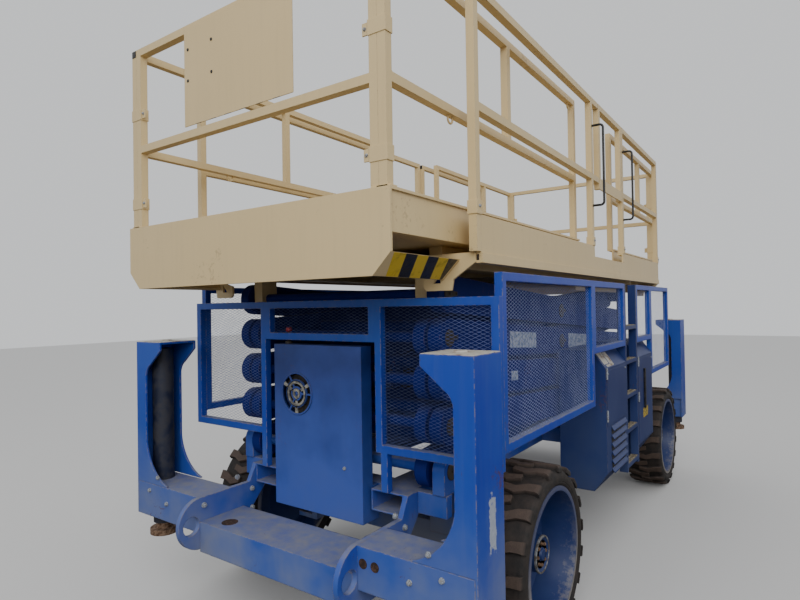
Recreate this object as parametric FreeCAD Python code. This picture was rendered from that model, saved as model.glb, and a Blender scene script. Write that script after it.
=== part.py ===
import FreeCAD, Part
import math
import os

from FreeCAD import Placement, Rotation, Vector

# A rough-terrain scissor lift, folded, with its two roll-out decks pushed in.
# Millimetres. X runs across, the front faces -Y and Z is up. The origin lies on the
# ground, under the middle of the machine's length and width.

os.makedirs("parts", exist_ok=True)

# Whole machine
half_width = 1150.0
half_length = 2555.0
front_overhang = 175.0
pin_gap = 0.3
run_gap = 0.5

# The faces of the two crossbeams, which most places along the machine are set from
front_plane = -half_length + front_overhang
rear_plane = half_length

# Stack of arms: the pins of one level lie a pitch above those of the level below
front_pin_setback = 545.0
rear_pin_setback = 1097.3
arm_levels = 4
arm_height = 190.0
arm_gap = 30.0
arm_thickness = 70.0
arm_plane_gap = 20.0
arm_inset = 580.0
raised_angle = 50.0
base_pin_z = 970.0
shaft_r = 30.0
centre_pin_r = 35.0
roller_r = 45.0
cross_tube_r = 40.0
cross_tube_setback = 500.0
head_r = 70.0

pitch = arm_height + arm_gap
front_pin_y = front_plane + front_pin_setback
rear_pin_y = rear_plane - rear_pin_setback
arm_length = math.hypot(rear_pin_y - front_pin_y, pitch)
rest = math.asin(pitch / arm_length)
rest_angle = math.degrees(rest)
inner_arm_x = half_width - arm_inset
outer_arm_x = inner_arm_x + arm_thickness + arm_plane_gap
arm_side_x = outer_arm_x + arm_thickness
cross_tube_reach = arm_length / 2 - cross_tube_setback
top_pin_z = base_pin_z + arm_levels * pitch
through = 2 * half_width

# Lift cylinder
eye_drop = 120.0
barrel_r = 65.0
rod_r = 35.0
eye_r = 62.0
eye_width = 80.0
eye_bore_r = 28.0
rod_level = 3
high_tube_shift = 200.0

# Chassis
rail_width = 200.0
rail_height = 110.0
rail_wall = 8.0
rail_z = 750.0
rail_setback = 395.0
member_width = 120.0
front_stub = 50.0
rear_member_y = rear_pin_y + 110.0
rail_x = inner_arm_x - 130.0
rail_top = rail_z + rail_height

# Outriggers
tower_depth = 240.0
tower_top_z = 1600.0
tower_bottom_z = 570.0
tower_neck_x = half_width - 95.0
tower_head_x = half_width - 245.0
tower_foot_x = half_width - 298.0
tower_head_z = tower_top_z - 48.0
plate = 12.0
box_height = 192.0
box_depth = 221.0
box_wall = 10.0
box_top_z = tower_bottom_z + box_height
jack_x = half_width - 84.0
jack_y = front_plane + tower_depth / 2
jack_r = 62.0
jack_rod_r = 45.0
jack_bottom_z = 500.0
jack_top_z = tower_top_z - 44.0
jack_bore_top_z = jack_top_z - 296.0
jack_rod_top_z = jack_bore_top_z - 60.0
foot_r = 82.0
foot_height = 32.0
foot_bottom_z = 430.0
lug_x = inner_arm_x - 30.0
lug_thickness = 28.0
lug_r = 138.5
lug_z = 623.5
lug_hole_r = 50.0
lug_hole_out = 52.0
channel_bottom_z = 472.0
channel_top_z = 634.0
channel_depth = 295.0

# Wheels and axles
wheel_width = 320.0
wheel_inner_x = half_width - 370.0
rim_r = 345.0
rim_flange_r = rim_r + 16.0
wheel_r = rim_r + 125.0
tread_r = wheel_r - 21.0
rim_wall = 9.0
rim_disc_x = 70.0
hub_r = 95.0
hub_bore_r = 40.0
lug_count = 17
lug_crown = 6.1
front_axle_y = front_plane + 980.0
rear_axle_y = rear_plane - 740.0
axle_z = wheel_r
kingpin_x = wheel_inner_x - 90.0
kingpin_r = 22.0
knuckle_half_height = 90.0
yoke_gap = 5.0
axle_half_height = 60.0
axle_half_depth = 50.0
steer_arm = 190.0
steer_arm_drop = 60.0
tie_pin_r = 12.0

# Side cabinets and ladder fill the room between the tyres
side_outer_x = half_width - 70.0
side_depth = 325.0
side_inner_x = side_outer_x - side_depth
side_wall = 8.0
side_bottom_z = 500.0
side_top_z = 1465.0
side_taper = 130.0
side_slope = 120.0
side_cut = 90.0
ladder_width = 385.0
ladder_stile = 30.0
front_tyre_gap = 595.0
rear_tyre_gap = 175.0
between_tyres = rear_axle_y - front_axle_y - 2 * wheel_r
side_length = (between_tyres - ladder_width - front_tyre_gap - rear_tyre_gap) / 2
ladder_y1 = rear_axle_y - wheel_r - rear_tyre_gap - side_length
ladder_y0 = ladder_y1 - ladder_width
ladder_bottom_z = side_bottom_z
step_count = 5
step_first_z = side_bottom_z + 56.0
step_pitch = 264.0
engine_depth = 215.0
engine_height = 480.0
engine_end_gap = 45.0

# Front cabinet and guards
cabinet_half_width = lug_x - 220.0
cabinet_front_y = front_plane + 351.0
cabinet_depth = 84.0
cabinet_bottom_z = 680.0
cabinet_top_z = 1587.0
guard_bar = 40.0
mesh_sheet = 3.0
mesh_cell = 110.0
mesh_bar = 22.0
mesh_most = 12
guard_y = cabinet_front_y + 44.0
guard_x = half_width - 110.0
guard_top_z = 1938.0
front_guard_bottom_z = 1055.0
front_guard_top_z = 1830.0
guard_join = 250.0

# Platform, set from the top pins of the stack
deck_half_width = half_width - 150.0
deck_front_y = front_plane + 375.0
deck_rear_y = -deck_front_y
deck_bottom_z = top_pin_z + 130.0
deck_floor_z = deck_bottom_z + 50.0
deck_sill_z = deck_floor_z + 165.0
step_drop = 75.0
lip = 6.0
floor_thickness = 12.0
flange = 45.0
deck_member = 60.0
deck_middle = deck_rear_y - 1240.0
rail_top_z = deck_floor_z + 1210.0
rail_mid_z = deck_floor_z + 670.0
tube = 40.0
rail_out_x = deck_half_width
rail_in_x = deck_half_width - tube
gate_width = 650.0
gate_y1 = deck_rear_y - 1455.0
gate_y0 = gate_y1 - gate_width
gate_gap = 12.0
right_posts = [gate_y0 - 190.0, gate_y1 + gate_gap]
left_posts = [gate_y1 - 45.0, gate_y1 + 40.0]
band_height = 80.0
handle_r = 8.0
handle_reach = 76.0
handle_length = 560.0

# Extensions, which roll on the deck floor; both are pushed in
ext_half_width = deck_half_width - 100.0
ext_bottom_z = deck_bottom_z - 71.0
ext_top_z = deck_floor_z + 218.0
ext_chamfer = 90.0
ext_deck_gap = 45.0
ext_panel = 10.0
ext_beam_x = ext_half_width - 22.0
ext_rail_x = ext_half_width - 20.0 - tube
wear_strip = 70.0
wear_strip_x = ext_half_width - 210.0
front_ext_end = deck_front_y + 1745.0
rear_ext_end = deck_rear_y - 1325.0
front_mid_post = deck_front_y + 585.0
rear_mid_post = deck_rear_y - 245.0
panel_half_width = 388.0
panel_drop = 20.0


def box(x0, x1, y0, y1, z0, z1):
    return Part.makeBox(x1 - x0, y1 - y0, z1 - z0, Vector(x0, y0, z0))


def tube_along(axis, centre, radius, start, end):
    """A cylinder along X, Y or Z; centre gives the other two coordinates."""
    a, b = centre
    where = {"x": (start, a, b), "y": (a, start, b), "z": (a, b, start)}[axis]
    way = {"x": (1, 0, 0), "y": (0, 1, 0), "z": (0, 0, 1)}[axis]
    return Part.makeCylinder(radius, end - start, Vector(*where), Vector(*way))


def prism(edges_or_points, way):
    """A closed outline, given as points or as edges, pushed along a vector."""
    if isinstance(edges_or_points[0], Vector):
        wire = Part.makePolygon(edges_or_points + [edges_or_points[0]])
    else:
        wire = Part.Wire(edges_or_points)
    return Part.Face(wire).extrude(way)


def line(a, b):
    return Part.LineSegment(a, b).toShape()


def arc(a, b, c):
    return Part.Arc(a, b, c).toShape()


def fused(shapes):
    """One solid, or the solids that don't touch, with shared faces merged."""
    shape = shapes[0]
    if len(shapes) > 1:
        shape = shape.fuse(shapes[1:])
    return shape.removeSplitter()


def mirrored(shape):
    return shape.mirror(Vector(0, 0, 0), Vector(1, 0, 0))


def at_rear(shape):
    """The same piece at the rear end of the chassis."""
    copy = shape.mirror(Vector(0, 0, 0), Vector(0, 1, 0))
    copy.translate(Vector(0, rear_plane + front_plane, 0))
    return copy


def save(name, shapes):
    if not isinstance(shapes, list):
        shapes = [shapes]
    solids = [solid for shape in shapes for solid in shape.Solids]
    good = all(solid.isValid() and solid.Volume > 0 for solid in solids)
    shape = solids[0] if len(solids) == 1 else Part.makeCompound(solids)
    shape.exportStep("parts/" + name + ".step")
    print(name, len(solids), "valid" if good else "NOT VALID", round(shape.Volume / 1e6, 2))


# Outrigger towers, jacks and the crossbeams at both ends

def tower_outline(y):
    """Inner edge of a tower plate, seen from the front, as a closed outline."""
    p = [
        Vector(half_width, y, box_top_z),
        Vector(half_width, y, tower_top_z),
        Vector(tower_head_x, y, tower_top_z),
        Vector(tower_head_x, y, tower_head_z),
        Vector(tower_neck_x - 45, y, tower_head_z - 87),
        Vector(tower_neck_x - 13, y, tower_head_z - 116),
        Vector(tower_neck_x, y, tower_head_z - 152),
        Vector(tower_neck_x, y, box_top_z + 238),
        Vector(tower_neck_x - 40, y, box_top_z + 127),
        Vector(tower_foot_x, y, box_top_z + 5),
        Vector(tower_foot_x, y, box_top_z),
    ]
    return [
        line(p[0], p[1]), line(p[1], p[2]), line(p[2], p[3]), line(p[3], p[4]),
        arc(p[4], p[5], p[6]), line(p[6], p[7]), arc(p[7], p[8], p[9]),
        line(p[9], p[10]), line(p[10], p[0]),
    ]


def tower():
    """Right front tower: side plate, front and rear plates and a cap."""
    back = front_plane + tower_depth
    front_face = prism(tower_outline(front_plane), Vector(0, plate, 0))
    rear_face = prism(tower_outline(back - plate), Vector(0, plate, 0))
    side = box(half_width - plate, half_width, front_plane, back, tower_bottom_z, tower_top_z)
    cap = box(tower_head_x, half_width, front_plane, back, tower_top_z - plate, tower_top_z)
    return fused([side, front_face, rear_face, cap])


def jack_barrel():
    barrel = tube_along("z", (jack_x, jack_y), jack_r, jack_bottom_z, jack_top_z)
    bore = tube_along("z", (jack_x, jack_y), jack_rod_r + pin_gap, jack_bottom_z - 1,
                      jack_bore_top_z)
    return barrel.cut(bore)


def jack_leg():
    rod = tube_along("z", (jack_x, jack_y), jack_rod_r, foot_bottom_z + foot_height,
                     jack_rod_top_z)
    foot = tube_along("z", (jack_x, jack_y), foot_r, foot_bottom_z, foot_bottom_z + foot_height)
    return fused([rod, foot])


def outrigger_box():
    """Right half of a crossbeam: the hollow box that the jack stands in."""
    x1 = half_width - plate
    x0 = lug_x + lug_thickness
    y1 = front_plane + box_depth
    body = box(x0, x1, front_plane, y1, tower_bottom_z, box_top_z)
    inside = box(x0 - 1, x1 - box_wall, front_plane + box_wall, y1 - box_wall,
                 tower_bottom_z + box_wall, box_top_z - box_wall)
    hole = tube_along("z", (jack_x, jack_y), jack_r + pin_gap,
                      tower_bottom_z - 1, box_top_z + 1)
    return body.cut(inside).cut(hole)


def lug_plate(nose):
    """Right lug: a plate that runs back to the chassis rail, rounded at its nose."""
    y_nose = front_plane + 10
    back = front_pin_y - member_width / 2
    top = lug_z + lug_r
    bottom = lug_z - lug_r
    p = {
        "top": Vector(lug_x, y_nose, top),
        "nose": Vector(lug_x, y_nose - lug_r, lug_z),
        "bottom": Vector(lug_x, y_nose, bottom),
        "heel": Vector(lug_x, front_plane + 245, bottom),
        "low": Vector(lug_x, back, rail_z - 10),
        "back": Vector(lug_x, back, rail_top),
        "rise": Vector(lug_x, front_plane + rail_setback, rail_top),
        "step": Vector(lug_x, front_plane + 345, top),
    }
    if nose:
        end = [arc(p["bottom"], p["nose"], p["top"])]
    else:
        a = Vector(lug_x, front_plane, bottom)
        b = Vector(lug_x, front_plane, top)
        end = [line(p["bottom"], a), line(a, b), line(b, p["top"])]
    ring = ["top", "step", "rise", "back", "low", "heel", "bottom"]
    edges = [line(p[a], p[b]) for a, b in zip(ring, ring[1:])]
    body = prism(edges + end, Vector(lug_thickness, 0, 0))
    if not nose:
        return body
    return body.cut(tube_along("x", (front_plane - lug_hole_out, lug_z), lug_hole_r,
                               lug_x - 1, lug_x + lug_thickness + 1))


def crossbeam():
    """Channel between the lugs, and the two boxes outside them, welded up to the lugs."""
    front = box(-lug_x, lug_x, front_plane, front_plane + plate, channel_bottom_z, channel_top_z)
    top = box(-lug_x, lug_x, front_plane, front_plane + channel_depth,
              channel_top_z - plate, channel_top_z)
    bottom = box(-lug_x, lug_x, front_plane, front_plane + 80,
                 channel_bottom_z, channel_bottom_z + plate)
    right = outrigger_box()
    return [fused([front, top, bottom]), right, mirrored(right)]


def lug_pair(nose):
    right = lug_plate(nose)
    return [right, mirrored(right)]


def chassis_rails():
    """The two long box tubes of the chassis."""
    y0 = front_plane + rail_setback
    y1 = rear_plane - rail_setback
    half = rail_width / 2
    inner = half - rail_wall
    rails = []
    for x in (-rail_x, rail_x):
        outer = box(x - half, x + half, y0, y1, rail_z, rail_top)
        rails.append(outer.cut(box(x - inner, x + inner, y0 - 1, y1 + 1,
                                   rail_z + rail_wall, rail_top - rail_wall)))
    return rails


def chassis_members():
    """Cross members: one length between the rails and a stub outside each of them."""
    # place along the chassis, reach to each side, depth of the stubs; the front stubs are
    # shallow so that the steered tyres pass behind them
    members = [
        (front_pin_y, arm_side_x + 5, front_stub),
        (ladder_y0 - side_length / 2, side_inner_x, member_width),
        (ladder_y1 + side_length / 2, side_inner_x, member_width),
        (rear_member_y, arm_side_x + 5, member_width),
    ]
    inner = rail_x - rail_width / 2
    outer = rail_x + rail_width / 2
    parts = []
    for y, reach, depth in members:
        y0 = y - member_width / 2
        for x0, x1, size in ((-reach, -outer, depth), (-inner, inner, member_width),
                             (outer, reach, depth)):
            parts.append(box(x0, x1, y0, y0 + size, rail_z, rail_top))
    return parts


def pivot_stand():
    """Brackets and through shaft that the lowest inner arms turn on, and both tracks."""
    shaft = tube_along("x", (front_pin_y, base_pin_z), shaft_r, -arm_side_x, arm_side_x)
    parts = [shaft]
    for side in (-1, 1):
        x0 = side * outer_arm_x if side > 0 else -arm_side_x
        x1 = x0 + arm_thickness
        post = box(x0, x1, front_pin_y - head_r, front_pin_y + head_r, rail_top, base_pin_z)
        head = tube_along("x", (front_pin_y, base_pin_z), head_r, x0, x1)
        parts += [post, head]
    return fused(parts)


def base_tracks():
    """Bars that the rollers of the lowest outer arms run on."""
    first = ladder_y0 - side_length / 2 - member_width / 2
    last = rear_member_y + member_width / 2
    top = base_pin_z - roller_r - run_gap
    bars = []
    for x0 in (inner_arm_x, -inner_arm_x - arm_thickness):
        bars.append(box(x0, x0 + arm_thickness, first, last, rail_top, top))
    return bars


# Stack of arms

def arm_blank(x0):
    """One arm along +Y from its front pin, with round ends, at X x0."""
    r = arm_height / 2
    p = [
        Vector(x0, 0, r), Vector(x0, arm_length, r), Vector(x0, arm_length + r, 0),
        Vector(x0, arm_length, -r), Vector(x0, 0, -r), Vector(x0, -r, 0),
    ]
    edges = [line(p[0], p[1]), arc(p[1], p[2], p[3]), line(p[3], p[4]), arc(p[4], p[5], p[0])]
    return prism(edges, Vector(arm_thickness, 0, 0))


def placed(shape, angle, y, z):
    """Turn a shape about X and carry its origin to (0, y, z)."""
    copy = shape.copy()
    copy.Placement = Placement(Vector(0, y, z), Rotation(Vector(1, 0, 0), angle))
    return copy


def inner_pair(level):
    blanks = [arm_blank(inner_arm_x), arm_blank(-inner_arm_x - arm_thickness)]
    half = arm_length / 2
    extras = []
    reach = cross_tube_reach + (high_tube_shift if level == rod_level - 1 else 0.0)
    for y in (half - reach, half + reach):
        extras.append(tube_along("x", (y, 0), cross_tube_r, -inner_arm_x, inner_arm_x))
    out = inner_arm_x + arm_thickness
    for x0 in (out, -arm_side_x):
        extras.append(tube_along("x", (half, 0), centre_pin_r, x0, x0 + arm_side_x - out))
        extras.append(tube_along("x", (half, 0), head_r, *washer_span(x0, out)))
    if level == rod_level:
        extras += rod_lugs(half - cross_tube_reach)
    body = fused(blanks + extras)
    bores = [0.0] if level == arm_levels else [0.0, arm_length]
    for y in bores:
        body = body.cut(tube_along("x", (y, 0), shaft_r + pin_gap, -through, through))
    if level == arm_levels:
        shaft = tube_along("x", (arm_length, 0), shaft_r, -arm_side_x, arm_side_x)
        rollers = [tube_along("x", (arm_length, 0), roller_r, x0, x0 + arm_thickness)
                   for x0 in (outer_arm_x, -arm_side_x)]
        body = fused([body, shaft] + rollers)
    z = base_pin_z + (level - 1) * pitch
    return placed(body, rest_angle, front_pin_y, z)


def washer_span(x0, out):
    """Thrust washer between the two arm planes, 5 mm short of the outer arm."""
    if x0 > 0:
        return out, out + arm_plane_gap - 5
    return -out - arm_plane_gap + 5, -out


def rod_lugs(y):
    """Two lugs under the cross tube, on each side of the rod's eye."""
    lugs = []
    for x0 in (eye_width / 2 + 5, -eye_width / 2 - 25):
        plate_part = box(x0, x0 + 20, y - 45, y + 45, -eye_drop, 0)
        end = tube_along("x", (y, -eye_drop), 45.0, x0, x0 + 20)
        lugs += [plate_part, end]
    return lugs


def outer_pair(level):
    body = fused([arm_blank(outer_arm_x), arm_blank(-arm_side_x)])
    body = body.cut(tube_along("x", (arm_length / 2, 0), centre_pin_r + pin_gap,
                               -through, through))
    shafts = [tube_along("x", (y, 0), shaft_r, -arm_side_x, arm_side_x)
              for y in (0.0, arm_length)]
    rollers = []
    if level == 1:
        rollers = [tube_along("x", (arm_length, 0), roller_r, x0, x0 + arm_thickness)
                   for x0 in (inner_arm_x, -inner_arm_x - arm_thickness)]
    body = fused([body] + shafts + rollers)
    return placed(body, -rest_angle, front_pin_y, base_pin_z + level * pitch)


def cylinder_ends(angle):
    """Barrel pin and rod pin, as (y, z), with the arms at an angle in radians."""
    c, s = math.cos(angle), math.sin(angle)
    y_mid = front_pin_y + arm_length / 2 * c
    z_low = base_pin_z + arm_length / 2 * s
    z_high = base_pin_z + (rod_level - 0.5) * arm_length * s
    barrel = (y_mid + cross_tube_reach * c, z_low + cross_tube_reach * s)
    rod = (y_mid - cross_tube_reach * c + eye_drop * s,
           z_high - cross_tube_reach * s - eye_drop * c)
    return barrel, rod


def lift_cylinder():
    (y0, z0), (y1, z1) = cylinder_ends(rest)
    length = math.hypot(y1 - y0, z1 - z0)
    angle = math.degrees(math.atan2(z1 - z0, y1 - y0))
    half = eye_width / 2
    gland = length - 160.0
    body = tube_along("y", (0, 0), barrel_r, 55.0, gland)
    eye = tube_along("x", (0, 0), eye_r + 8, -half, half)
    barrel = fused([body, eye])
    barrel = barrel.cut(tube_along("x", (0, 0), cross_tube_r + pin_gap, -200, 200))
    barrel = barrel.cut(tube_along("y", (0, 0), rod_r + pin_gap, 150.0, gland + 1))
    stem = tube_along("y", (0, 0), rod_r, 170.0, length - 40)
    rod_eye = tube_along("x", (length, 0), eye_r, -half, half)
    rod = fused([stem, rod_eye])
    rod = rod.cut(tube_along("x", (length, 0), eye_bore_r, -200, 200))
    return placed(barrel, angle, y0, z0), placed(rod, angle, y0, z0)


# Wheels, axles and steering

def ring(points):
    """Revolve an outline of (x, radius) points about the X axis."""
    face = Part.Face(Part.makePolygon([Vector(x, 0, r) for x, r in points + points[:1]]))
    return face.revolve(Vector(0, 0, 0), Vector(1, 0, 0), 360)


def rim():
    """Right wheel rim about the X axis, its inner face at X 0."""
    w = wheel_width
    barrel = ring([
        (6, rim_flange_r), (6, rim_r - rim_wall), (w * 0.36, rim_r - 45),
        (w - 6, rim_r - rim_wall), (w - 6, rim_flange_r), (w - 14, rim_flange_r),
        (w - 14, rim_r), (w * 0.36 + 20, rim_r - 36), (w * 0.36 - 20, rim_r - 36),
        (14, rim_r), (14, rim_flange_r),
    ])
    disc = ring([
        (rim_disc_x, hub_r), (rim_disc_x, 210), (rim_disc_x + 40, rim_r - 40),
        (rim_disc_x + 54, rim_r - 40), (rim_disc_x + 14, 205), (rim_disc_x + 14, hub_r),
    ])
    hub = ring([(0, hub_bore_r + pin_gap), (0, 80), (rim_disc_x - 10, hub_r),
                (rim_disc_x + 40, hub_r), (rim_disc_x + 60, 75),
                (rim_disc_x + 60, hub_bore_r + pin_gap)])
    return fused([barrel, disc, hub])


def many_sided(x, r):
    """Outline about the X axis with one flat for each lug, the flats at radius r."""
    n = 2 * lug_count
    corner = r / math.cos(math.pi / n)
    turns = [2 * math.pi * (i + 0.5) / n for i in range(n)]
    points = [Vector(x, corner * math.sin(a), corner * math.cos(a)) for a in turns]
    return Part.makePolygon(points + points[:1])


def tyre():
    """Right tyre with its slanted lugs, about the X axis, its inner face at X 0."""
    w = wheel_width
    bead = rim_r + pin_gap
    # X from the inner face, radius of the flats
    outline = [(14.5, rim_flange_r + pin_gap), (0, 400), (26, tread_r),
               (w - 26, tread_r), (w, 400), (w - 14.5, rim_flange_r + pin_gap)]
    body = Part.makeLoft([many_sided(x, r) for x, r in outline], True, True)
    body = body.cut(Part.Face(many_sided(-1, bead)).extrude(Vector(w + 2, 0, 0)))
    lugs = []
    step = 360.0 / lug_count
    lean = 52.0
    foot = tread_r - 12
    for side in (0, 1):
        x_out, x_in = (6, w * 0.56) if side == 0 else (w - 6, w * 0.44)
        lug = prism([Vector(x_out, -30, foot), Vector(x_out, 30, foot),
                     Vector(x_in, 24 + lean, foot), Vector(x_in, -24 + lean, foot)],
                    Vector(0, 0, wheel_r - foot - lug_crown))
        for i in range(lug_count):
            copy = lug.copy()
            copy.rotate(Vector(0, 0, 0), Vector(1, 0, 0), step * (i + side * 0.5))
            lugs.append(copy)
    return fused([body, fused(lugs)])


def wheel_at(shape, side, y):
    copy = shape.copy()
    copy.translate(Vector(wheel_inner_x, y, axle_z))
    return copy if side > 0 else mirrored(copy)


def knuckle():
    """Right knuckle: block on the kingpin, spindle, and the arm that steers it."""
    y, z = front_axle_y, axle_z
    block = box(kingpin_x - 35, kingpin_x + 35, y - 45, y + 45,
                z - knuckle_half_height, z + knuckle_half_height)
    spindle = tube_along("x", (y, z), hub_bore_r, kingpin_x + 30, wheel_inner_x + 110)
    zp = z - steer_arm_drop
    bar = box(kingpin_x - 20, kingpin_x + 20, y + 40, y + steer_arm, zp - 10, zp + 10)
    eye = tube_along("z", (kingpin_x, y + steer_arm), 28.0, zp - 10, zp + 10)
    pin = tube_along("z", (kingpin_x, y + steer_arm), tie_pin_r, zp + 10, zp + 46)
    body = fused([block, spindle, bar, eye, pin])
    return body.cut(tube_along("z", (kingpin_x, y), kingpin_r + pin_gap, 0, 2 * z))


def tie_rod():
    y = front_axle_y + steer_arm
    z0 = axle_z - steer_arm_drop + 15
    z1 = z0 + 28
    parts = [tube_along("x", (y, (z0 + z1) / 2), 13.0, -kingpin_x + 22, kingpin_x - 22)]
    for x in (-kingpin_x, kingpin_x):
        eye = tube_along("z", (x, y), 28.0, z0, z1)
        parts.append(eye)
    body = fused(parts)
    for x in (-kingpin_x, kingpin_x):
        body = body.cut(tube_along("z", (x, y), tie_pin_r + pin_gap, 0, 2 * axle_z))
    return body


def axle_hanger(y):
    hangers = []
    for side in (-1, 1):
        x = side * rail_x
        hangers.append(box(x - 80, x + 80, y - 60, y + 60, axle_z, rail_z))
    return hangers


def front_axle():
    y, z = front_axle_y, axle_z
    inner = kingpin_x - 90
    beam = box(-inner, inner, y - axle_half_depth, y + axle_half_depth,
               z - axle_half_height, z + axle_half_height)
    parts = [beam] + axle_hanger(y)
    ear = knuckle_half_height + yoke_gap
    for side in (-1, 1):
        x0, x1 = sorted((side * (inner - 40), side * inner))
        e0, e1 = sorted((side * (inner - 40), side * (kingpin_x + 35)))
        parts.append(box(x0, x1, y - 50, y + 50, z - ear - 30, z + ear + 30))
        for z0 in (z + ear, z - ear - 30):
            parts.append(box(e0, e1, y - 50, y + 50, z0, z0 + 30))
        parts.append(tube_along("z", (side * kingpin_x, y), kingpin_r, z - ear, z + ear))
    return fused(parts)


def rear_axle():
    y, z = rear_axle_y, axle_z
    inner = wheel_inner_x - 40
    beam = box(-inner, inner, y - axle_half_depth, y + axle_half_depth,
               z - axle_half_height, z + axle_half_height)
    case = tube_along("x", (y, z), 120.0, -110, 110)
    parts = [beam, case] + axle_hanger(y)
    for side in (-1, 1):
        s0, s1 = sorted((side * (inner - 10), side * (wheel_inner_x + 110)))
        parts.append(tube_along("x", (y, z), hub_bore_r, s0, s1))
    return fused(parts)


# Cabinets, guards and ladder

def front_cabinet():
    """Tall shallow cabinet at the front, with a round horn grille in its face."""
    w = cabinet_half_width
    y0 = cabinet_front_y
    depth = cabinet_depth
    heel = front_pin_y - member_width / 2
    body = box(-w, w, y0, y0 + depth, cabinet_bottom_z, cabinet_top_z)
    foot = box(-w, w, y0 + depth - 1, heel, cabinet_bottom_z, rail_top)
    inside = box(-w + 6, w - 6, y0 + 6, y0 + depth - 6, cabinet_bottom_z + 6, cabinet_top_z - 6)
    shape = fused([body, foot]).cut(inside)
    x, z, r = horn_place
    shape = shape.cut(tube_along("y", (x, z), r, y0 - 1, y0 + 7))
    for radius in (r, r * 0.66, r * 0.34):
        outer = tube_along("y", (x, z), radius, y0 - 6, y0 + 6)
        shape = shape.fuse(outer.cut(tube_along("y", (x, z), radius - 9, y0 - 7, y0 + 7)))
    for turn in (90, 210, 330):
        spoke = box(x - 5, x + 5, y0 - 4, y0 + 4, z, z + r - 4)
        spoke.rotate(Vector(x, 0, z), Vector(0, 1, 0), turn)
        shape = shape.fuse(spoke)
    return shape.removeSplitter()


# Horn grille in the cabinet's face: place across, height, radius
horn_place = (-cabinet_half_width + 179.0, cabinet_top_z - 272.0, 118.0)


def frame_across(x0, x1, z0, z1):
    """Guard frame of square bar that faces the front."""
    y0 = guard_y - guard_bar / 2
    y1 = guard_y + guard_bar / 2
    outer = box(x0, x1, y0, y1, z0, z1)
    return outer.cut(box(x0 + guard_bar, x1 - guard_bar, y0 - 1, y1 + 1,
                         z0 + guard_bar, z1 - guard_bar))


def frame_along(y0, y1, z0, z1):
    """Guard frame of square bar on the right side."""
    outer = box(guard_x, guard_x + guard_bar, y0, y1, z0, z1)
    return outer.cut(box(guard_x - 1, guard_x + guard_bar + 1, y0 + guard_bar, y1 - guard_bar,
                         z0 + guard_bar, z1 - guard_bar))


# Front guards: left edge, right edge, bottom
front_frames = [
    (-side_outer_x, -cabinet_half_width - 100, front_guard_bottom_z),
    (-cabinet_half_width - 100, cabinet_half_width + 70, cabinet_top_z + 23),
    (cabinet_half_width + 70, side_outer_x, front_guard_bottom_z),
]


def front_guard():
    parts = [frame_across(x0, x1, z0, front_guard_top_z) for x0, x1, z0 in front_frames]
    for x in (-rail_x, rail_x):
        parts.append(box(x - 20, x + 20, guard_y - 20, guard_y + 20, rail_top,
                         front_guard_bottom_z))
    return fused(parts)


# Side guards: front edge, rear edge, bottom
side_frames = [
    (guard_y + guard_bar / 2, ladder_y0 - side_length - guard_join, front_guard_bottom_z + 75),
    (ladder_y0 - side_length - guard_join, ladder_y0, side_top_z),
    (ladder_y1, ladder_y1 + side_length, side_top_z),
    (ladder_y1 + side_length, rear_axle_y + 210, front_guard_bottom_z + 95),
]


def side_guards():
    """Guards of both sides; only the left one has a frame where the ladder is on the right."""
    parts = [frame_along(y0, y1, z0, guard_top_z) for y0, y1, z0 in side_frames]
    extra = frame_along(ladder_y0, ladder_y1, side_top_z, guard_top_z)
    return [fused(parts), mirrored(fused(parts + [extra]))]


def grid_sheet(low, high):
    """A sheet opened as a plain grid; low and high are its corners, thin across one axis."""
    size = high - low
    wide = "x" if size.y < size.x else "y"
    span = size.x if wide == "x" else size.y
    start = low.x if wide == "x" else low.y
    columns = max(2, min(mesh_most, round(span / mesh_cell)))
    rows = max(2, min(mesh_most, round(size.z / mesh_cell)))
    bars = []
    for i in range(columns + 1):
        at = start + (span - mesh_bar) * i / columns
        if wide == "x":
            bars.append(box(at, at + mesh_bar, low.y, high.y, low.z, high.z))
        else:
            bars.append(box(low.x, high.x, at, at + mesh_bar, low.z, high.z))
    for i in range(rows + 1):
        at = low.z + (size.z - mesh_bar) * i / rows
        bars.append(box(low.x, high.x, low.y, high.y, at, at + mesh_bar))
    return fused(bars)


def mesh_sheets():
    """Thin sheets that fill the guard frames, seated in the middle of the bars."""
    sheets = []
    t = mesh_sheet / 2
    b = guard_bar
    for x0, x1, z0 in front_frames:
        sheets.append((Vector(x0 + b, guard_y - t, z0 + b),
                       Vector(x1 - b, guard_y + t, front_guard_top_z - b)))
    x = guard_x + b / 2
    sides = [(y0, y1, z0, 1) for y0, y1, z0 in side_frames]
    sides += [(y0, y1, z0, -1) for y0, y1, z0 in side_frames]
    sides.append((ladder_y0, ladder_y1, side_top_z, -1))
    for y0, y1, z0, side in sides:
        sheets.append((Vector(side * x - t, y0 + b, z0 + b),
                       Vector(side * x + t, y1 - b, guard_top_z - b)))
    return [grid_sheet(low, high) for low, high in sheets]


def side_cabinet(y0):
    """Right side cabinet: tapered below, sloped at its outer top edge."""
    x0, x1 = side_inner_x, side_outer_x

    def outline(w):
        return [
            Vector(x0 + w, y0, side_bottom_z + w),
            Vector(x1 - side_cut - w * 0.4, y0, side_bottom_z + w),
            Vector(x1 - w, y0, side_bottom_z + side_taper + w * 0.4),
            Vector(x1 - w, y0, side_top_z - side_slope),
            Vector(x1 - side_cut - w * 0.4, y0, side_top_z - w),
            Vector(x0 + w, y0, side_top_z - w),
        ]

    outer = prism(outline(0.0), Vector(0, side_length, 0))
    inner = prism(outline(side_wall), Vector(0, side_length - 2 * side_wall, 0))
    inner.translate(Vector(0, side_wall, 0))
    return outer.cut(inner)


def side_cabinets():
    pair = [side_cabinet(ladder_y0 - side_length), side_cabinet(ladder_y1)]
    return pair + [mirrored(shape) for shape in pair]


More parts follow.
